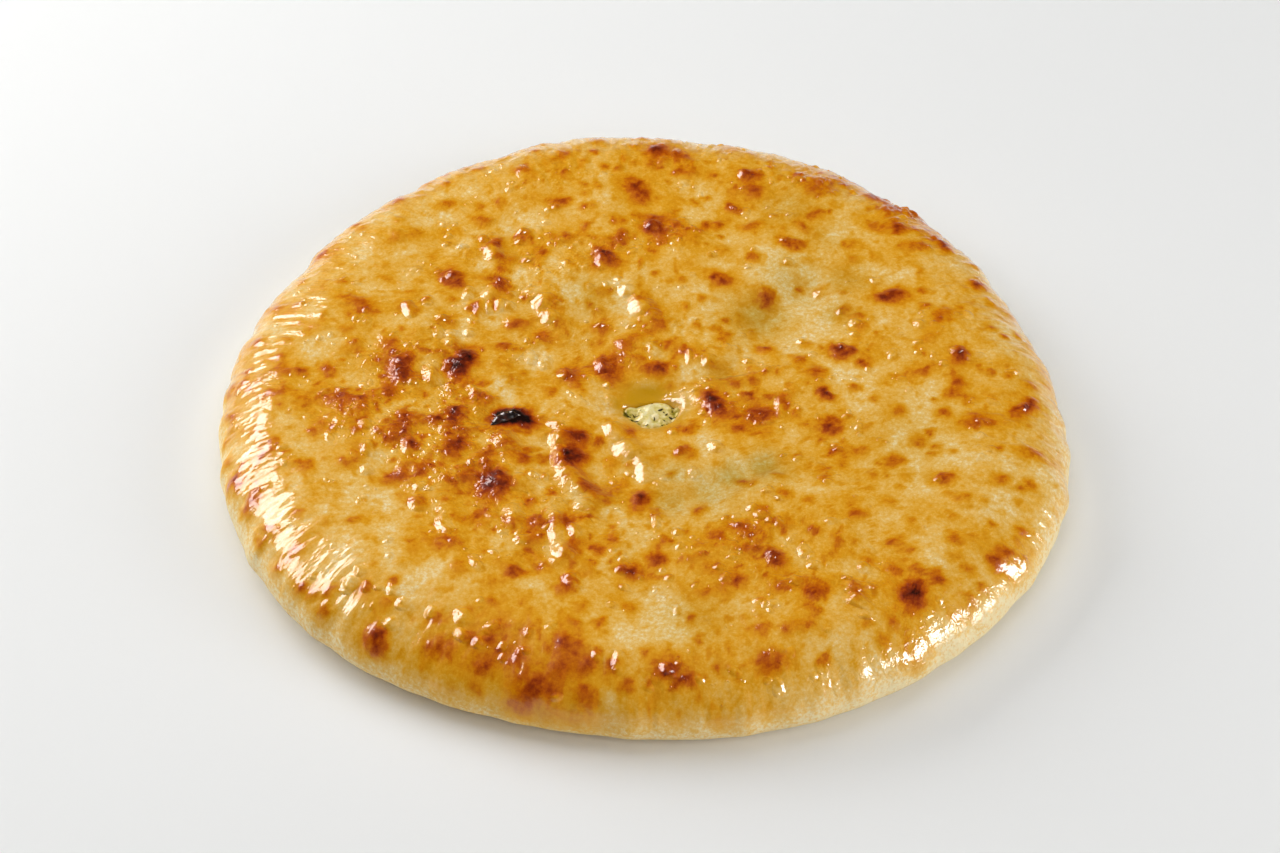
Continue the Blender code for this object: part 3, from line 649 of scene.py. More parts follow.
def dough_tone(points):
    """How far the crust has baked at these points, and how much herb, butter and puckering it shows. Its bake
    also carries painted shade on the right of bubbles and folds and at the front left of the side, and
    painted light at the left and right of the side.
    """
    x, y, z = (points / MM).T
    wide_x, wide_y = wander(x, y)
    bake = patch_bake(wide_x, wide_y) + 0.10 * smooth_noise(x, y, 15, 15)
    # What stands up has browned more, and so have round flecks between the bubbles. The brown of the bubbles
    # and folds is set off to their right, away from the lamps at the left: painted shade on their right
    # sides.
    mottles = smooth_step(smooth_noise(x, y / 1.2, 8, 16), -0.1, 0.9)
    flecks = smooth_step(smooth_noise(x, y / 1.2, 3.6, 19), 0.25, 0.75)
    # The folds' brown lies 3 mm right of their crests: painted shade.
    fold_bake_and_shade = np.clip(folds(wide_x - 5.5, wide_y, RIDGES), 0, 2)
    clouds = (0.4 + 0.6 * liveliness(x, y)) * (0.16 * mottles + 0.22 * flecks - 0.09)
    # The bubbles' brown, read 0.8 mm to the left, falls on their right sides as painted shade.
    bake += clouds + 0.20 * bubble_rise(wide_x - 0.8, wide_y) + 0.08 * fold_bake_and_shade - 0.05
    darkest = np.zeros_like(x)
    cloudy = 1 + 0.35 * smooth_noise(x, y, 3.0, 25) + 0.2 * smooth_noise(x, y, 1.6, 26)
    for *oval, _, brown in [*BLISTERS, *STREWN]:
        gap = oval_distance(wide_x, wide_y, *oval)
        spot = brown * (0.50 * np.exp(-1.3 * gap**1.4) + 0.12 * np.exp(-0.35 * gap))
        darkest = np.maximum(darkest, spot)
    for centre_x, centre_y, radius, brown in SPOTS:
        gap = oval_distance(wide_x, wide_y, centre_x, centre_y, radius, radius, 0)
        spot = brown * (0.56 * np.exp(-1.3 * gap) + 0.12 * np.exp(-0.35 * gap))
        darkest = np.maximum(darkest, spot)
    # Spots fade out on the way down the side.
    darkest *= smooth_step(z, *SPOTS_END)
    bake = np.maximum(bake + darkest * cloudy * (SPOT_BAKE - bake), LEAST_BAKE)
    herb = np.zeros_like(x)
    for *shadow, strength in HERB_SHADOWS:
        herb = np.maximum(herb, strength * bell(wide_x, wide_y, *shadow))
    # The side below the shoulder never meets the oven's top heat, so it stays cream and unbuttered. How high
    # the cream reaches is partly painted light at the left and right, and its straw tinge at the front left
    # is partly painted shade.
    slant_x, slant_y = x + 0.8 * z, y - 0.6 * z
    line = CREAM_HEIGHT + 3.0 * smooth_noise(slant_x, slant_y, 17, 17)
    line += 1.8 * smooth_noise(slant_x, slant_y, 6, 18)
    # Where the cream reaches higher, at the left and right, it is painted light.
    for heading, width, more in CREAM_LINE_AND_LIGHT:
        line += more * round_side(x, y, heading, width)
    baked_side = smooth_step(z, line - 7, line + 5)
    # The straw tinge at the front left is partly painted shade.
    straw = STRAW_AND_SHADE_SIDE[2] * round_side(x, y, *STRAW_AND_SHADE_SIDE[:2])
    bake = bake * baked_side + straw * (1 - baked_side)
    butter = smooth_step(z, line - 3, line + 3)
    pool = np.clip(1.3 * pool_share(x, y) + 0.6 * np.exp(-(((vent_reach(x, y) - 1.1) / 0.3) ** 2)), 0, 1)
    rim = smooth_step(np.hypot(x, y), *RIM_WRINKLES)
    pucker = np.maximum(liveliness(x, y) * (1 - 0.45 * rim), 1.1 * round_side(x, y, *CRISP_SIDE) * rim)
    return {
        "bake": bake,
        "herb": 0.85 * herb * baked_side,
        "butter": butter,
        "pool": pool,
        "pucker": pucker,
        "rim": rim * smooth_step(z, 12, 24) * (1 - 0.75 * round_side(x, y, *CALM_SIDE)),
    }


def set_tones(piece, least_pucker=0.0):
    """Stores the tone of each of a piece's points as attributes for its material."""
    points = np.empty(len(piece.data.vertices) * 3)
    piece.data.vertices.foreach_get("co", points)
    tones = dough_tone(points.reshape(-1, 3))
    tones["pucker"] = np.maximum(tones["pucker"], least_pucker)
    for name, values in tones.items():
        layer = piece.data.attributes.new(name, "FLOAT", "POINT")
        layer.data.foreach_set("value", values.astype(np.float32))


# Baked dough under a film of melted butter: warm straw to dark brown, with small soft mottles and wet, sharp
# highlights that its puckered skin breaks up. The film thins out down the side, which is dry and dusty.
dough, dough_shader = new_material(
    "buttered_baked_dough",
    {"Specular IOR Level": 0.1, "Coat Roughness": 0.04, "Coat IOR": 1.47},
)
place = add_node(dough, "ShaderNodeTexCoord").outputs["Object"]
bake, herb, butter, pool, pucker, rim = (
    add_node(dough, "ShaderNodeAttribute", {"attribute_name": name}).outputs["Fac"]
    for name in ("bake", "herb", "butter", "pool", "pucker", "rim")
)
mottle = add_node(
    dough,
    "ShaderNodeTexNoise",
    inputs={"Vector": place, "Scale": 1 / (1.6 * MM), "Detail": 4.0, "Roughness": 0.7},
).outputs["Fac"]
mottle_change = add_node(
    dough,
    "ShaderNodeMapRange",
    inputs={"Value": mottle, "From Min": 0.3, "From Max": 0.7, "To Min": -0.085, "To Max": 0.085},
).outputs["Result"]
level = add_node(dough, "ShaderNodeMath", {"operation": "ADD"}, {0: bake, 1: mottle_change}).outputs[0]
tone = add_node(
    dough,
    "ShaderNodeValToRGB",
    {
        "stops": (
            (0.00, "#F6E4B6"),
            (0.10, "#EFC36C"),
            (0.18, "#EAB146"),
            (0.27, "#E4A11C"),
            (0.37, "#DB8D04"),
            (0.47, "#CE7200"),
            (0.57, "#BC5800"),
            (0.70, "#983702"),
            (0.84, "#6C2005"),
            (1.00, "#1C0A06"),
        )
    },
    {"Fac": level},
).outputs["Color"]
greened = add_node(
    dough,
    "ShaderNodeMix",
    {"data_type": "RGBA", "blend_type": "MULTIPLY"},
    {"Factor": herb, 6: tone, 7: linear("#C9C98A")},
).outputs[2]
pooled = add_node(
    dough,
    "ShaderNodeMix",
    {"data_type": "RGBA"},
    {"Factor": pool, 6: greened, 7: linear("#D0990A")},
).outputs[2]
crinkle = add_node(
    dough,
    "ShaderNodeTexNoise",
    inputs={"Vector": place, "Scale": 1 / (2.4 * MM), "Detail": 1.5, "Roughness": 0.5, "Distortion": 0.8},
).outputs["Fac"]
# Fine streaks run outwards over the rim: noise on the direction from the middle and, stretched, the distance.
outward_place = add_node(
    dough, "ShaderNodeVectorMath", {"operation": "MULTIPLY"}, {0: place, 1: (1.0, 1.0, 0.0)}
).outputs[0]
heading = add_node(dough, "ShaderNodeVectorMath", {"operation": "NORMALIZE"}, {0: outward_place}).outputs[0]
long_way = add_node(
    dough,
    "ShaderNodeVectorMath",
    {"operation": "MULTIPLY_ADD"},
    {0: outward_place, 1: (3.2, 3.2, 0.0), 2: heading},
).outputs[0]
streaks = add_node(
    dough, "ShaderNodeTexNoise", inputs={"Vector": long_way, "Scale": 46.0, "Detail": 1.5, "Roughness": 0.5}
).outputs["Fac"]
streak_share = add_node(dough, "ShaderNodeMath", {"operation": "MULTIPLY"}, {0: rim, 1: 0.75}).outputs[0]
streak_height = add_node(
    dough, "ShaderNodeMath", {"operation": "MULTIPLY"}, {0: streaks, 1: streak_share}
).outputs[0]
crinkle_height = add_node(
    dough, "ShaderNodeMath", {"operation": "MULTIPLY_ADD"}, {0: crinkle, 1: pucker, 2: streak_height}
).outputs[0]
grain = add_node(
    dough, "ShaderNodeTexNoise", inputs={"Vector": place, "Scale": 1 / (0.8 * MM), "Detail": 1.0}
).outputs["Fac"]
crinkled = add_node(
    dough, "ShaderNodeBump", inputs={"Height": crinkle_height, "Strength": 1.0, "Distance": 0.42 * MM}
).outputs["Normal"]
skin = add_node(
    dough,
    "ShaderNodeBump",
    inputs={"Height": grain, "Strength": 1.0, "Distance": 0.012 * MM, "Normal": crinkled},
).outputs["Normal"]
# The butter has also run into streaks on the rim, and left thin places between them.
thin_film = add_node(
    dough,
    "ShaderNodeMapRange",
    inputs={"Value": streaks, "From Min": 0.39, "From Max": 0.44, "To Min": 0.6, "To Max": 0.0},
).outputs["Result"]
thinned = add_node(dough, "ShaderNodeMath", {"operation": "MULTIPLY"}, {0: thin_film, 1: rim}).outputs[0]
# It has soaked into what has browned most.
soaked = add_node(
    dough,
    "ShaderNodeMapRange",
    inputs={"Value": level, "From Min": 0.45, "From Max": 0.80, "To Min": 0.0, "To Max": 0.40},
).outputs["Result"]
left_out = add_node(dough, "ShaderNodeMath", {"operation": "MAXIMUM"}, {0: thinned, 1: soaked}).outputs[0]
film = add_node(
    dough, "ShaderNodeMath", {"operation": "SUBTRACT", "use_clamp": True}, {0: butter, 1: left_out}
).outputs[0]
dryness = add_node(
    dough,
    "ShaderNodeMapRange",
    inputs={"Value": butter, "From Min": 0.0, "From Max": 1.0, "To Min": 0.62, "To Max": 0.36},
).outputs["Result"]
plug(
    dough,
    dough_shader,
    Base_Color=pooled,
    Roughness=dryness,
    Coat_Weight=film,
    Normal=skin,
    Coat_Normal=skin,
)


def ring_grid(rings):
    """Places on a flat disc of one ring number at the edge, from a square grid bent into rings.

    Each square ring of the grid becomes a circle, and places along a side of the square are spread
    evenly over a quarter of the circle. Returns the ring numbers, the angles and the grid's faces.
    """
    steps = np.arange(-rings, rings + 1)
    u, v = np.meshgrid(steps, steps, indexing="ij")
    ring = np.maximum(abs(u), abs(v))
    wide = abs(u) >= abs(v)
    side = np.where(wide, u, v)
    slant = np.where(wide, v, u) / np.where(side == 0, 1, side) * math.pi / 4
    angle = np.where(wide, slant, math.pi / 2 - slant) + np.where(side < 0, math.pi, 0)
    count = 2 * rings + 1
    first = (np.arange(count - 1)[:, None] * count + np.arange(count - 1)).ravel()
    faces = np.stack([first, first + count, first + count + 1, first + 1], axis=1)
    return ring.ravel(), angle.ravel(), faces


def ring_edge(rings):
    """Numbers of the grid's outermost points, in order round the disc."""
    count = 2 * rings + 1
    index = np.arange(count * count).reshape(count, count)
    return np.concatenate([index[:-1, 0], index[-1, :-1], index[:0:-1, -1], index[0, :0:-1]])


CRUST_RINGS = TOP_RINGS + SHOULDER_RINGS + FOOT_RINGS
ring, angle, faces = ring_grid(CRUST_RINGS)
walked = (
    np.minimum(ring, TOP_RINGS) * TOP_RADIUS / TOP_RINGS
    + np.clip(ring - TOP_RINGS, 0, SHOULDER_RINGS) * SHOULDER_STEP
    + np.clip(ring - TOP_RINGS - SHOULDER_RINGS, 0, FOOT_RINGS) * FOOT_STEP
)
crust_points = dough_surface(walked * np.cos(angle), walked * np.sin(angle))
base_face = ring_edge(CRUST_RINGS)[::-1]
crust = add_surface("pie_crust", crust_points, [*faces.tolist(), base_face.tolist()], dough)
set_tones(crust)
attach(crust, "root")
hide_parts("crust")


# ------------------------------------------------------------------------------------------------ skin flakes
# Short steps in the skin, where it has wrinkled over a bubble or along a fold. Each is steep on its left,
# where it flashes white in the light, and runs out gently to the right.

# (x and y of its far end, x and y of its near end, width of its steep side, how far it bows left), in mm.
FLAKES = (
    # front left
    (-91.5, -28, -91, -39, 1.8, 0.5), (-106, -31, -105, -40, 2.0, 2.0), (-107, -44, -103.5, -49, 1.8, 1.5),
    (-109, -20, -107, -26, 2.0, 0.5), (-91, -21, -90, -27, 1.5, 0.8), (-88, -60, -85.5, -69, 2.4, 0.6),
    (-87, -54, -85, -58, 2.0, 0.5), (-77, -70, -72.5, -82, 2.0, 2.0), (-57, -26, -52, -36, 4.0, 2.2),
    (-54.5, -41, -58.5, -56, 4.2, 0.6), (-49, -46, -51, -57, 3.4, -0.5), (-61.5, -39, -62, -44, 1.6, 0.4),
    (-52, -64, -49.5, -79, 2.8, 0.4), (-47.5, -82, -46, -87, 2.2, 0.5), (-38, -17, -32.5, -21.5, 2.0, 0.6),
    (-34.5, -23, -35, -31, 3.2, 0.0), (-35, -31, -33.5, -43.5, 2.0, 0.4), (-32.5, -46, -25, -59, 4.4, 2.0),
    (-26.5, -61, -24, -69, 3.0, 0.6), (-34, -68, -33.5, -86, 2.0, 1.2), (-34, -86, -27, -95, 2.6, 2.0),
    (-28.5, -75, -26, -84, 1.8, 0.5), (-30, -100, -26, -109.5, 2.4, 0.4), (-15, -17, -10, -28, 3.0, 0.8),
    (-10.5, -28, -6, -38, 4.0, 1.6), (-2, -40, -0.5, -51, 2.6, 0.6), (-10, -97.5, -8.5, -101.5, 1.8, 0.3),
    (-8, -105, -8.5, -109, 1.6, 0.4), (-64.5, -92, -62, -100, 1.6, 0.5), (-82.5, -55, -82, -58, 1.6, 0.2),
    # back left
    (-66.5, 90, -66, 84.5, 1.6, 0.3), (-64.5, 84, -61.5, 73, 3.0, 0.9), (-52, 93, -50, 89.5, 2.4, 0.6),
    (-51, 87.5, -51.5, 84.5, 1.6, 0.2), (-81, 85, -80.5, 82, 1.6, 0.2), (-75, 83.5, -75, 80.5, 1.8, 0.3),
    (-49.5, 76.5, -47.5, 73, 2.4, 0.4), (-78.5, 66, -77.5, 61, 2.0, 0.6), (-70, 58.5, -72, 50, 1.8, 0.4),
    (-60.5, 58.5, -65, 51.5, 2.4, 0.2), (-65.5, 52, -67, 41, 2.0, 0.3), (-62.5, 50, -63, 43, 1.8, 0.3),
    (-59, 50.5, -57, 43.5, 2.4, 0.6), (-55, 50.5, -56, 44, 2.2, 0.3), (-48, 58, -45.5, 50, 2.8, 0.5),
    (-43.5, 53, -41.5, 44.5, 3.2, 0.3), (-40.5, 44, -37.5, 37, 2.6, 0.6),
    (-87.5, 50.5, -87, 45.5, 1.6, 0.3), (-95, 48.5, -92.5, 37.5, 2.0, 1.0),
    (-82, 40.5, -80.5, 36.5, 2.0, 0.3), (-82.5, 35, -81.5, 26.5, 1.8, 0.4), (-78, 33, -77, 27, 2.6, 0.5),
    (-79.5, 28, -73.5, 20.5, 2.6, 0.6), (-70.5, 34, -70, 29.5, 1.8, 0.3), (-98.5, 12, -98, 6.5, 2.0, 0.5),
    (-84.5, 14.5, -82, 0.5, 2.6, 1.8), (-79, 12, -77, 9, 1.8, 0.2), (-76, 3, -76, -3, 1.6, 0.4),
    (-68.5, 1.5, -66.5, -5, 1.8, 0.4), (-46, 24, -45, 15.5, 2.2, 0.5), (-40.5, 22, -41, 13, 2.2, 0.3),
    (-32, 14.5, -33, 7, 2.2, 0.4), (-18.5, 20, -16, 10.5, 2.2, 1.0), (-14.5, 6.5, -15.5, 3, 1.6, 0.2),
    (-14, 0.5, -14.5, -5, 1.8, 0.4), (-19.5, 79, -17.5, 68.5, 2.0, 0.8), (-9.5, 59, -7.5, 52, 2.4, 0.5),
    (-4.5, 50.5, -2, 41, 3.8, 0.6), (1.5, 46, 2.5, 38.5, 2.4, 0.4), (1.5, 28, 3.5, 20, 2.2, 1.0),
    (-19, 39, -18, 36, 1.8, 0.2), (-7, 37, -5.5, 35, 1.6, 0.2),
    # back right
    (0.5, 98, 3.5, 91.5, 2.2, 0.4), (8.5, 95, 9.5, 91, 1.4, 0.2), (10.5, 91, 10.5, 87, 1.4, 0.2),
    (40, 130, 40.5, 124.5, 1.8, 0.6), (57.5, 75.5, 56.5, 71, 1.6, 0.2), (55.5, 87.5, 56, 85, 1.6, 0.2),
    (26, 80, 26, 76.5, 1.4, 0.1), (41, 72.5, 41, 69.5, 1.4, 0.1), (91, 63, 93, 58, 1.6, 0.4),
    (77, 46, 77.5, 42.5, 1.2, 0.1), (81, 38.5, 83.5, 34, 1.8, 0.3), (106.5, 37, 109, 31.5, 1.8, 0.3),
    (60.5, 31, 61.5, 26, 1.6, 0.3), (76, 26, 77.5, 21, 1.4, 0.3), (24, 20.5, 24.5, 13, 2.2, 0.5),
    (40, 20.5, 39.5, 16, 1.6, 0.3), (17, 24, 17, 15, 1.2, 0.2), (48, 13.5, 46.5, 9.5, 1.6, 0.3),
    (120.5, 21, 122, 16.5, 2.4, 0.6), (125.5, 18, 125.5, 14, 1.2, 0.1), (116, 13.5, 116.5, 10, 1.4, 0.2),
    (142.5, 11, 142.5, 8, 1.8, 0.3), (107, 25.5, 106.5, 22.5, 1.4, 0.2), (35.5, 108.5, 36, 106, 1.2, 0.2),
    # front right
    (51.5, -4, 51.5, -16, 1.8, 0.3), (25, -28, 27.5, -35, 2.2, 0.6), (13, -31, 12.5, -36, 1.8, 0.5),
    (10, -19, 10, -24, 1.6, 0.3), (17.5, -42, 18.5, -49, 1.6, 0.3), (45, -55, 45.5, -59.5, 1.8, 0.3),
    (50, -60, 50, -63, 1.6, 0.2), (41, -64, 38, -68, 1.6, 0.3), (44, -68, 42, -73, 2.2, 0.8),
    (46, -72, 45, -75, 1.8, 0.2), (49.5, -71, 49.5, -78, 1.2, 0.2), (4, -69, 3.5, -77, 1.4, 0.4),
    (12, -76, 11, -81, 1.6, 0.2), (58, -85, 58.5, -93, 1.8, 0.4), (62, -94, 61, -99, 2.0, 0.3),
    (46.5, -90, 46.5, -95, 1.6, 0.4), (81, -94, 79, -100, 2.0, 0.6), (55, -102, 53.5, -108, 1.8, 0.3),
    (74, -102, 73.5, -105, 1.6, 0.2), (75, -105, 76, -112, 3.4, 1.2), (79, -106, 79.5, -110, 3.0, 0.4),
    (77, -112, 75, -118, 4.0, 0.8), (79.5, -122, 79.5, -124, 2.0, 0.2), (30, -99.5, 28, -105, 1.4, 0.2),
    (27.5, -95, 26, -99, 1.6, 0.2), (45, -116, 47, -120, 2.0, 0.4), (11.5, -115, 11, -122, 1.2, 0.1),
    (7, -144, 6.5, -149, 2.0, 0.4), (47, -148, 47.5, -154, 1.6, 0.2), (43.5, -148, 43.5, -151, 1.2, 0.1),
    (111.5, -49, 110.5, -53, 1.4, 0.8), (128.5, -26, 128.5, -31, 1.4, 0.2),
    (132, -34, 130.5, -38, 1.4, 0.2), (147, -6, 144.5, -11, 1.4, 0.2), (73.5, -31, 73, -34, 1.6, 0.2),
    (19, 3, 18.5, 0.5, 1.2, 0.1), (14.5, 4.6, 13.8, 2.4, 1.1, 0.1), (22.5, -8.5, 21.5, -12.5, 1.4, 0.2),
    (25, 2.5, 24.5, 0.5, 1.1, 0.1),
    # rim at the front left
    (-78, -116, -80, -122, 1.6, 0.3), (-88, -111, -91, -117, 2.0, 0.2), (-91, -119, -96, -122, 1.8, -0.2),
    (-93, -106, -94, -111.5, 1.6, 0.2), (-98, -106, -99, -109, 1.4, 0.2),
    (-102.5, -104, -103.5, -109.5, 1.8, 0.3), (-106.5, -97, -105.5, -103, 1.6, 0.3),
    (-108, -101, -112, -108, 2.0, 0.3), (-69, -119, -66.5, -127, 2.4, 0.3),
    (-66, -127, -69, -131, 2.4, 0.8), (-54, -124, -59, -129.5, 1.8, 0.2),
    (-60, -130.5, -62.5, -135, 1.8, 0.2), (-51, -133.5, -53.5, -137, 1.4, 0.1),
    (-51.5, -138, -53, -141.5, 1.2, 0.1), (-43.5, -136, -45, -138.5, 1.6, 0.2),
    (-42, -128, -43.5, -133, 1.2, 0.2), (-9.5, -139, -10.5, -149, 1.8, 0.8),
    (-13, -115, -12.5, -118.5, 1.6, 0.3),
)  # fmt: skip
FLAKE_ROWS = 11
FLAKE_COLUMNS = 8
FLAKE_WIDENING = 1.3  # every width comes out this much greater than the table says
# Places across a flake, in widths: where its steep side starts, its crest, and where it has run out.
FLAKE_START = -0.6
FLAKE_CREST = 0.6
FLAKE_END = 2.1
FLAKE_CRUMPLE = (0.3, 1.2)  # least and greatest share of its height that crumpling leaves
FLAKE_SINK = 0.08  # mm that its edge lies under the crust
FLAKE_CRINKLE = 0.6  # least share of the dough's crinkles on it


def flat_place(x, y):
    """Places on the flat disc of dough of places on the finished pie, seen from above."""
    far, angle = np.hypot(x, y), np.arctan2(y, x)
    far = far - (far / PIE_RADIUS) ** 3 * lobed(angle, OUTLINE_LOBES)
    down = np.arcsin(np.clip((far - TOP_RADIUS) / SHOULDER_WIDTH, 0, 0.99)) / (math.pi / 2)
    reach = np.minimum(far, TOP_RADIUS) + down * SHOULDER_STEP * SHOULDER_RINGS
    return reach * np.cos(angle), reach * np.sin(angle)


far_x, far_y, near_x, near_y, width, bow = np.array(FLAKES).T[:, :, None, None]
width = FLAKE_WIDENING * width
run = np.linspace(0, 1, FLAKE_ROWS)[None, :, None]
place_across = np.linspace(FLAKE_START, FLAKE_END, FLAKE_COLUMNS)[None, None, :]
share_up = smooth_step(place_across, FLAKE_START, FLAKE_CREST)
share_up = share_up * (1 - smooth_step(place_across, FLAKE_CREST, FLAKE_END))
length = np.hypot(near_x - far_x, near_y - far_y)
left_x, left_y = (near_y - far_y) / length, (far_x - near_x) / length
middle_bow = 1 - (2 * run - 1) ** 2
aside = bow * middle_bow - place_across * width * (0.4 + 0.6 * middle_bow**0.4)  # narrower at its ends
flake_x = far_x + run * (near_x - far_x) + aside * left_x
flake_y = far_y + run * (near_y - far_y) + aside * left_y
flake_x = flake_x + 0.35 * smooth_noise(flake_x, flake_y, 2.2, 41)
# A wide flake stands less high for its width than a narrow one.
rise = np.minimum(0.55 * width, 0.9 + 0.2 * width) * middle_bow**0.5
crumple = 1 + 0.5 * smooth_noise(flake_x, flake_y, 2.0, 42) + 0.35 * smooth_noise(flake_x, flake_y, 1.1, 43)
flake_lift = rise * np.clip(crumple, *FLAKE_CRUMPLE) * share_up - FLAKE_SINK
flake_points = dough_surface(*flat_place(flake_x.ravel(), flake_y.ravel()), flake_lift.ravel())

row, column = np.meshgrid(np.arange(FLAKE_ROWS - 1), np.arange(FLAKE_COLUMNS - 1), indexing="ij")
corner = (row * FLAKE_COLUMNS + column).reshape(-1, 1)
one_flake = corner + np.array([0, FLAKE_COLUMNS, FLAKE_COLUMNS + 1, 1])
flake_starts = FLAKE_ROWS * FLAKE_COLUMNS * np.arange(len(FLAKES))[:, None, None]
flakes = add_surface("skin_flakes", flake_points, (one_flake + flake_starts).reshape(-1, 4), dough)
set_tones(flakes, FLAKE_CRINKLE)
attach(flakes, "root")


# -------------------------------------------------------------------------------------- pinhead blisters
# Bubbles of steam, smaller than a lentil, that lift the skin of the dough all over the top and stand
# closest together where it has baked darkest. Each is a low dome of the same skin.

PINHEAD_SEED = 31
PINHEAD_COUNT = 1200
PINHEAD_RADII = (0.6, 2.2)  # mm
PINHEAD_STRETCH = (1.0, 1.7)
PINHEAD_STEEPNESS = (0.26, 0.52)  # height as a share of the radius
PINHEAD_REACH = 0.72  # how far down the shoulder they stand, as a share of it
PINHEAD_VENT = 1.6  # how far from the vent they stay, as a share of the way to its edge
PINHEAD_RINGS = 3
PINHEAD_SIDES = 8
PINHEAD_SINK = 0.06  # mm that its edge lies under the crust

rng = np.random.default_rng(PINHEAD_SEED)
tries = 5 * PINHEAD_COUNT
far = (TOP_RADIUS + PINHEAD_REACH * SHOULDER_RINGS * SHOULDER_STEP) * np.sqrt(rng.uniform(size=tries))
turn = rng.uniform(0, 2 * math.pi, tries)
spot_x, spot_y = far * np.cos(turn), far * np.sin(turn)
# They gather in flocks, where the dough has browned and a smooth noise is high.
flock = smooth_step(smooth_noise(spot_x, spot_y, 11, 23), -0.1, 0.7)
liked = (vent_reach(spot_x, spot_y) > PINHEAD_VENT) * liveliness(spot_x, spot_y) ** 1.4 * (0.08 + flock)
chosen = np.argsort(-liked * rng.uniform(0.1, 1, tries))[:PINHEAD_COUNT]
size = PINHEAD_RADII[0] + (PINHEAD_RADII[1] - PINHEAD_RADII[0]) * rng.uniform(size=PINHEAD_COUNT) ** 2.6
stretch = rng.uniform(*PINHEAD_STRETCH, PINHEAD_COUNT)
lean = rng.uniform(0, math.pi, PINHEAD_COUNT)
steepness = rng.uniform(*PINHEAD_STEEPNESS, PINHEAD_COUNT)

share = np.repeat(np.arange(1, PINHEAD_RINGS + 1) / PINHEAD_RINGS, PINHEAD_SIDES)
round_turn = np.tile(np.arange(PINHEAD_SIDES) * 2 * math.pi / PINHEAD_SIDES, PINHEAD_RINGS)
unit_x = np.concatenate([[0], share * np.cos(round_turn)])
unit_y = np.concatenate([[0], share * np.sin(round_turn)])
unit_lift = np.concatenate([[1], (1 - share**2) ** 1.3])
along, across = (size * stretch)[:, None] * unit_x, size[:, None] * unit_y
cos, sin = np.cos(lean)[:, None], np.sin(lean)[:, None]
dome_x = spot_x[chosen][:, None] + along * cos - across * sin
dome_y = spot_y[chosen][:, None] + along * sin + across * cos
dome_lift = (steepness * size)[:, None] * unit_lift - PINHEAD_SINK
dome_points = dough_surface(dome_x.ravel(), dome_y.ravel(), dome_lift.ravel())

# Faces of one dome: a cap of triangles round its top, then bands from each ring down to the next.
one_dome = [(0, 1 + i, 1 + (i + 1) % PINHEAD_SIDES) for i in range(PINHEAD_SIDES)]
for first in range(1, 1 + (PINHEAD_RINGS - 1) * PINHEAD_SIDES, PINHEAD_SIDES):
    for i in range(PINHEAD_SIDES):
        here, beside = first + i, first + (i + 1) % PINHEAD_SIDES
        one_dome.append((here, here + PINHEAD_SIDES, beside + PINHEAD_SIDES))
        one_dome.append((here, beside + PINHEAD_SIDES, beside))
dome_starts = len(unit_x) * np.arange(PINHEAD_COUNT)[:, None, None]
dome_faces = (np.array(one_dome) + dome_starts).reshape(-1, 3)
pinheads = add_surface("pinhead_blisters", dome_points, dome_faces, dough)
set_tones(pinheads)
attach(pinheads, "root")


# ------------------------------------------------------------------------------------------------ burnt fold
# One blister left of the vent has caught the oven's heat. Where its skin has burst, a narrow fold of it has
# curled up, shrunk and charred.

# Sizes of the fold, in mm.
CHAR_CENTRE = (-53.6, -17.4)
CHAR_HALF_LENGTH = 6.2
CHAR_HALF_WIDTH = 2.2
CHAR_RISE = 1.7
CHAR_SINK = 0.8
CHAR_BOW = 0.9
CHAR_WAVES = 0.18  # share of its height
CHAR_TURN = math.radians(22)
CHAR_STEPS = 64
CHAR_SIDES = 32


def char_surface(run, turn):
    """Points of the charred fold, from a run of -1 to 1 along it and a turn of 0 to 360 degrees round it.

    Its width and height shrink towards both ends as powers of one minus the squared run, and it bows
    backwards in the middle. Small waves run across its upper half.
    """
    taper = np.clip(1 - run**2, 0, 1)
    along = CHAR_HALF_LENGTH * run
    across = CHAR_HALF_WIDTH * taper**0.75 * np.cos(turn) + CHAR_BOW * (1 - 2 * run**2)
    upper = np.clip(np.sin(turn), 0, 1)
    waves = 1 + CHAR_WAVES * np.sin(11 * run + 2 * np.cos(turn))
    rise = CHAR_RISE * taper**0.6 * upper * waves
    lift = rise + CHAR_SINK * taper * np.minimum(np.sin(turn), 0)
    x = CHAR_CENTRE[0] + along * math.cos(CHAR_TURN) - across * math.sin(CHAR_TURN)
    y = CHAR_CENTRE[1] + along * math.sin(CHAR_TURN) + across * math.cos(CHAR_TURN)
    ground = dough_surface(x, y)
    return ground + np.stack([0 * lift, 0 * lift, lift], axis=-1) * MM


def tube_faces(steps, sides):
    """Faces of a tube's wall, on a grid that runs along it in steps and round it in sides."""
    step, side = np.meshgrid(np.arange(steps), np.arange(sides), indexing="ij")
    beside = (side + 1) % sides
    near, further = step * sides, (step + 1) * sides
    corners = [near + side, near + beside, further + beside, further + side]
    return np.stack(corners, axis=-1).reshape(-1, 4)


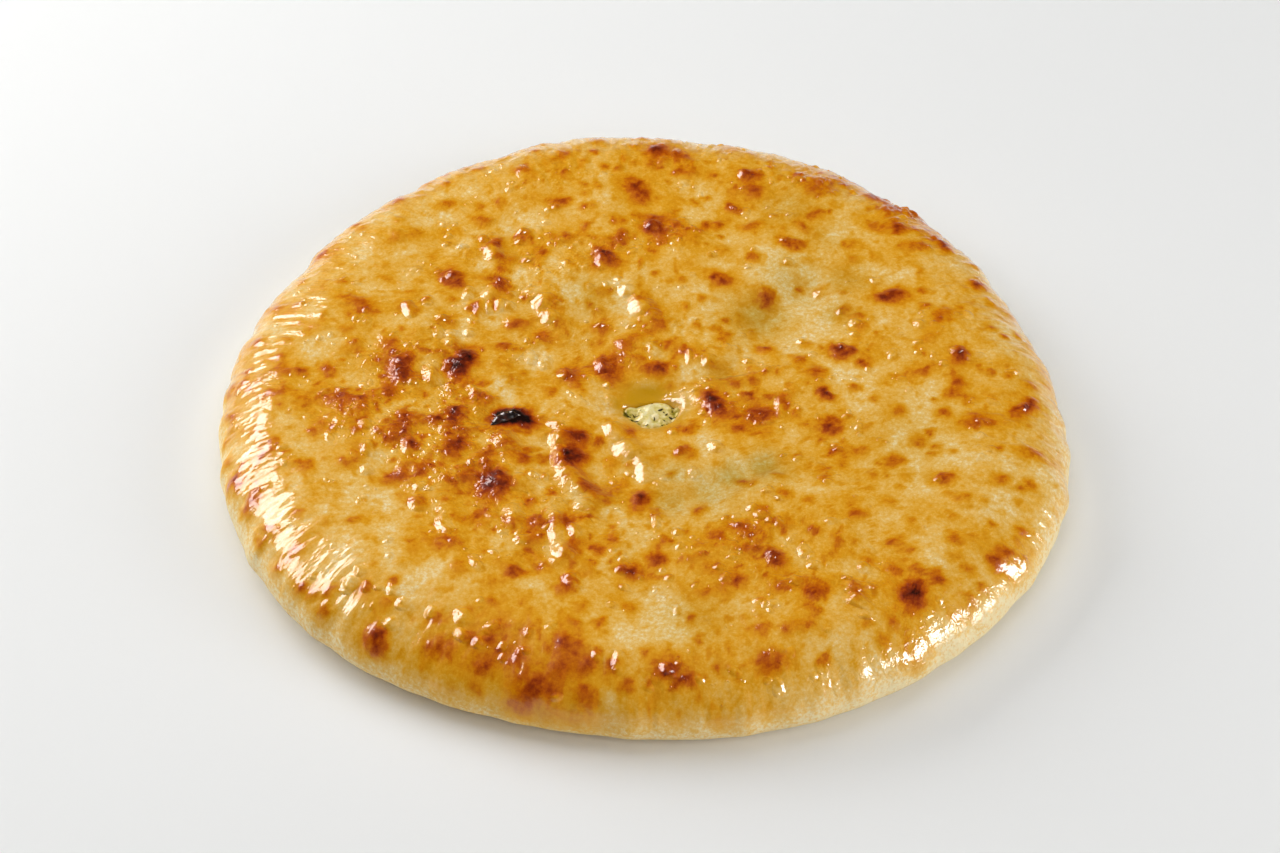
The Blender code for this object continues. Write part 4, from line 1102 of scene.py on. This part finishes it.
# Charred dough: nearly black, brown where it is thinnest, dry and glossy like burnt sugar.
char, char_shader = new_material(
    "charred_dough", {"Roughness": 0.35, "Coat Weight": 0.7, "Coat Roughness": 0.08, "Coat IOR": 1.5}
)
char_place = add_node(char, "ShaderNodeTexCoord").outputs["Object"]
char_cloud = add_node(
    char, "ShaderNodeTexNoise", inputs={"Vector": char_place, "Scale": 1 / (3 * MM), "Detail": 3.0}
).outputs["Fac"]
char_tone = add_node(
    char,
    "ShaderNodeValToRGB",
    {"stops": ((0.35, "#160A06"), (0.55, "#2E140A"), (0.72, "#562610"))},
    {"Fac": char_cloud},
).outputs["Color"]
char_grain = add_node(
    char, "ShaderNodeTexNoise", inputs={"Vector": char_place, "Scale": 1 / (1.2 * MM), "Detail": 2.0}
).outputs["Fac"]
char_skin = add_node(
    char, "ShaderNodeBump", inputs={"Height": char_grain, "Strength": 0.5, "Distance": 0.15 * MM}
).outputs["Normal"]
plug(char, char_shader, Base_Color=char_tone, Normal=char_skin, Coat_Normal=char_skin)

run, turn = np.meshgrid(
    np.sin(np.linspace(-math.pi / 2, math.pi / 2, CHAR_STEPS + 1)[1:-1]),
    np.arange(CHAR_SIDES) * 2 * math.pi / CHAR_SIDES,
    indexing="ij",
)
char_points = char_surface(run.ravel(), turn.ravel())
char_faces = tube_faces(CHAR_STEPS - 2, CHAR_SIDES)
first_end = tuple(range(CHAR_SIDES))
last_end = tuple(reversed(range(len(char_points) - CHAR_SIDES, len(char_points))))
burnt_fold = add_surface("burnt_fold", char_points, [*char_faces.tolist(), first_end, last_end], char)
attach(burnt_fold, "root")


# ------------------------------------------------------------------------------------------------ filling
# Fresh curd cheese, crumbled and mixed with chopped dill, moist from the oven's heat. It shows only in
# the vent, where it has risen in soft lumps, and runs down to the bottom crust.

CURD_TOP = 21.0
CURD_BOTTOM = 4.0
CURD_RINGS = 56
CURD_WALL_RINGS = 6
CURD_EDGE_DROP = 0.3
# Lumps, as (x, y, radius, rise) in mm from the vent's middle: left, far, front, and a ridge at the right.
CURD_LUMPS = (
    (-9.6, 4.6, 3.2, 2.0), (-6.8, 3.6, 2.8, 1.3), (2.0, 5.6, 5.2, 2.5), (-1.5, 3.4, 5.4, 2.7),
    (4.4, 3.6, 4.4, 2.2), (-3.0, -1.2, 4.4, 2.7), (-1.2, -4.4, 3.8, 2.2), (3.4, -3.0, 4.4, 1.8),
    (6.6, 0.4, 3.0, 1.4), (10.4, 4.4, 2.3, 3.2), (10.2, 1.2, 2.0, 3.0), (8.9, -2.0, 1.8, 2.8),
    (-9.6, -0.6, 2.6, 0.8), (-6.2, -3.4, 2.6, 0.8), (1.2, -0.6, 2.2, 2.9), (-4.4, 1.6, 1.6, 2.9),
)  # fmt: skip


def curd_surface(share, angle, level):
    """Points of the filling: the vent's outline times a share, at a level from 0, its bottom, to 1, its top.

    Over its top stand round lumps, each its height times the 0.8th power of one minus its squared distance,
    melted into each other by the fourth root of the sum of their fourth powers. The top falls off towards the
    vent's edge.
    """
    x, y = share * vent_edge(angle) * np.cos(angle), share * vent_edge(angle) * np.sin(angle)
    lump_x, lump_y, lump_radius, lump_rise = np.array(CURD_LUMPS).T
    gap = ((x[:, None] - lump_x) ** 2 + (y[:, None] - lump_y) ** 2) / lump_radius**2
    lumps = np.sum((lump_rise * np.clip(1 - gap, 0, 1) ** 0.8) ** 4, axis=1) ** 0.25
    grains = 0.30 * smooth_noise(x, y, 2.6, 21) + 0.16 * smooth_noise(x, y, 1.2, 22)
    top = CURD_TOP + (lumps + grains) * (1 - share**8) - CURD_EDGE_DROP * share**6
    height = CURD_BOTTOM + (top - CURD_BOTTOM) * level
    return np.stack([VENT_CENTRE[0] + x, VENT_CENTRE[1] + y, height], axis=-1) * MM


# Moist curd: creamy white on its lumps and green-yellow between them, with the dill's juice and with painted
# shade that darkens it the lower it lies; softly glossy, and light passes a little way into it.
curd, curd_shader = new_material(
    "moist_curd_cheese",
    {
        "Roughness": 0.30,
        "IOR": 1.4,
        "Subsurface Weight": 0.25,
        "Subsurface Radius": (1.0, 0.8, 0.5),
        "Subsurface Scale": 1.2 * MM,
    },
)
curd_place = add_node(curd, "ShaderNodeTexCoord").outputs["Object"]
curd_height = add_node(curd, "ShaderNodeSeparateXYZ", inputs={"Vector": curd_place}).outputs["Z"]
curd_cloud = add_node(
    curd, "ShaderNodeTexNoise", inputs={"Vector": curd_place, "Scale": 1 / (2.5 * MM), "Detail": 4.0}
).outputs["Fac"]
# The lower the curd lies, the darker its tone: painted shade in the hollows between the lumps.
curd_hollow_shade = add_node(
    curd,
    "ShaderNodeMapRange",
    inputs={
        "Value": curd_height,
        "From Min": (CURD_TOP + 0.2) * MM,
        "From Max": (CURD_TOP + 2.8) * MM,
        "To Min": -0.20,
        "To Max": 0.13,
    },
).outputs["Result"]
curd_level = add_node(
    curd, "ShaderNodeMath", {"operation": "ADD"}, {0: curd_cloud, 1: curd_hollow_shade}
).outputs[0]
curd_tone = add_node(
    curd,
    "ShaderNodeValToRGB",
    {"stops": ((0.24, "#958A18"), (0.36, "#D0BC56"), (0.50, "#E8D688"), (0.70, "#F4E8B6"))},
    {"Fac": curd_level},
).outputs["Color"]
curd_grain = add_node(
    curd, "ShaderNodeTexNoise", inputs={"Vector": curd_place, "Scale": 1 / (0.9 * MM), "Detail": 2.0}
).outputs["Fac"]
curd_skin = add_node(
    curd, "ShaderNodeBump", inputs={"Height": curd_grain, "Strength": 0.5, "Distance": 0.2 * MM}
).outputs["Normal"]
plug(curd, curd_shader, Base_Color=curd_tone, Normal=curd_skin)

ring, angle, faces = ring_grid(CURD_RINGS + CURD_WALL_RINGS)
curd_points = curd_surface(
    np.minimum(ring, CURD_RINGS) / CURD_RINGS,
    angle,
    1 - np.clip(ring - CURD_RINGS, 0, CURD_WALL_RINGS) / CURD_WALL_RINGS,
)
bottom_face = ring_edge(CURD_RINGS + CURD_WALL_RINGS)[::-1]
curds = add_surface("curd_cheese", curd_points, [*faces.tolist(), bottom_face.tolist()], curd)
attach(curds, "root")
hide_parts("filling")


# ------------------------------------------------------------------------------------------------ dill
# Chopped dill fronds: dark green slivers, up to a millimetre wide, lying in and on the curd. Most of them
# have gathered at the left and at the right of the vent.

# (x, y, length, width, turn in degrees), in mm from the vent's middle.
DILL = (
    (-10.6, 2.2, 1.6, 0.5, -50), (-9.6, 0.9, 3.4, 0.7, -55), (-6.8, 0.6, 3.6, 0.45, -35),
    (-8.0, -1.4, 1.5, 0.5, -20), (-6.6, -2.6, 2.2, 0.5, -30), (3.0, 2.6, 2.2, 0.9, 15),
    (4.2, 1.6, 1.0, 0.5, -40), (5.3, 0.7, 1.3, 0.7, 30), (7.4, -1.0, 2.8, 0.9, -10),
    (8.2, -2.6, 1.4, 0.5, 20), (4.4, -2.6, 1.1, 0.5, -50), (5.8, -4.2, 1.5, 0.5, 25),
    (0.6, -2.2, 1.3, 0.6, 80), (7.8, 5.4, 2.4, 0.55, 65), (7.6, 2.8, 1.2, 0.5, 75),
    (6.7, -0.6, 0.9, 0.4, 100), (3.6, -5.0, 1.0, 0.4, -15), (-2.4, -5.4, 1.2, 0.4, 10),
    (-4.8, 2.6, 1.0, 0.35, 60), (-0.4, 6.6, 1.1, 0.35, -20), (-10.6, -0.6, 1.3, 0.5, -70),
)  # fmt: skip
DILL_STEPS = 6
DILL_LIFT = 0.14
DILL_HALF_THICKNESS = 0.16
DILL_BEND = 0.12  # share of its length


def sliver_mesh():
    """Points and faces of every sliver: a bent strip that tapers to both ends, with a ridge along its top.

    A strip has four corners at each step along it: left, ridge, right and underside.
    """
    middle_x, middle_y, length, width, turn = np.array(DILL).T[:, :, None]
    cos, sin = np.cos(np.radians(turn)), np.sin(np.radians(turn))
    run = np.linspace(-0.5, 0.5, DILL_STEPS + 1)[None, :]
    taper = np.sqrt(np.clip(1 - (2 * run) ** 2, 0.02, 1))
    corners = []
    for side, rise in ((-0.5, 0), (0, DILL_HALF_THICKNESS), (0.5, 0), (0, -DILL_HALF_THICKNESS)):
        along, across = run * length, side * width * taper + DILL_BEND * length * (2 * run) ** 2
        x, y = middle_x + along * cos - across * sin, middle_y + along * sin + across * cos
        angle = np.arctan2(y, x).ravel()
        share = np.minimum(np.hypot(x, y).ravel() / vent_edge(angle), 0.97)
        ground = curd_surface(share, angle, np.ones(len(share))) / MM
        height = (DILL_LIFT + rise * taper).repeat(len(DILL), 0).reshape(-1, 1)
        corners.append(ground + np.array([0, 0, 1]) * height)
    points = np.stack(corners, axis=1).reshape(-1, 3) * MM
    faces = []
    for step in range(DILL_STEPS):
        for corner in range(4):
            a, b = 4 * step + corner, 4 * step + (corner + 1) % 4
            faces.append((a, b, b + 4, a + 4))
    faces += [(0, 3, 2, 1), tuple(4 * DILL_STEPS + i for i in range(4))]
    first = 4 * (DILL_STEPS + 1) * np.arange(len(DILL))[:, None, None]
    return points, (np.array(faces) + first).reshape(-1, 4)


# Cooked dill: dull dark olive.
dill_green, dill_shader = new_material("cooked_dill", {"Roughness": 0.6, "Specular IOR Level": 0.2})
dill_place = add_node(dill_green, "ShaderNodeTexCoord").outputs["Object"]
dill_cloud = add_node(
    dill_green, "ShaderNodeTexNoise", inputs={"Vector": dill_place, "Scale": 1 / (2 * MM), "Detail": 2.0}
).outputs["Fac"]
dill_tone = add_node(
    dill_green,
    "ShaderNodeValToRGB",
    {"stops": ((0.35, "#3A3004"), (0.55, "#5A4E0A"), (0.70, "#7C7020"))},
    {"Fac": dill_cloud},
).outputs["Color"]
plug(dill_green, dill_shader, Base_Color=dill_tone)

dill = add_surface("dill_slivers", *sliver_mesh(), dill_green)
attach(dill, "root")
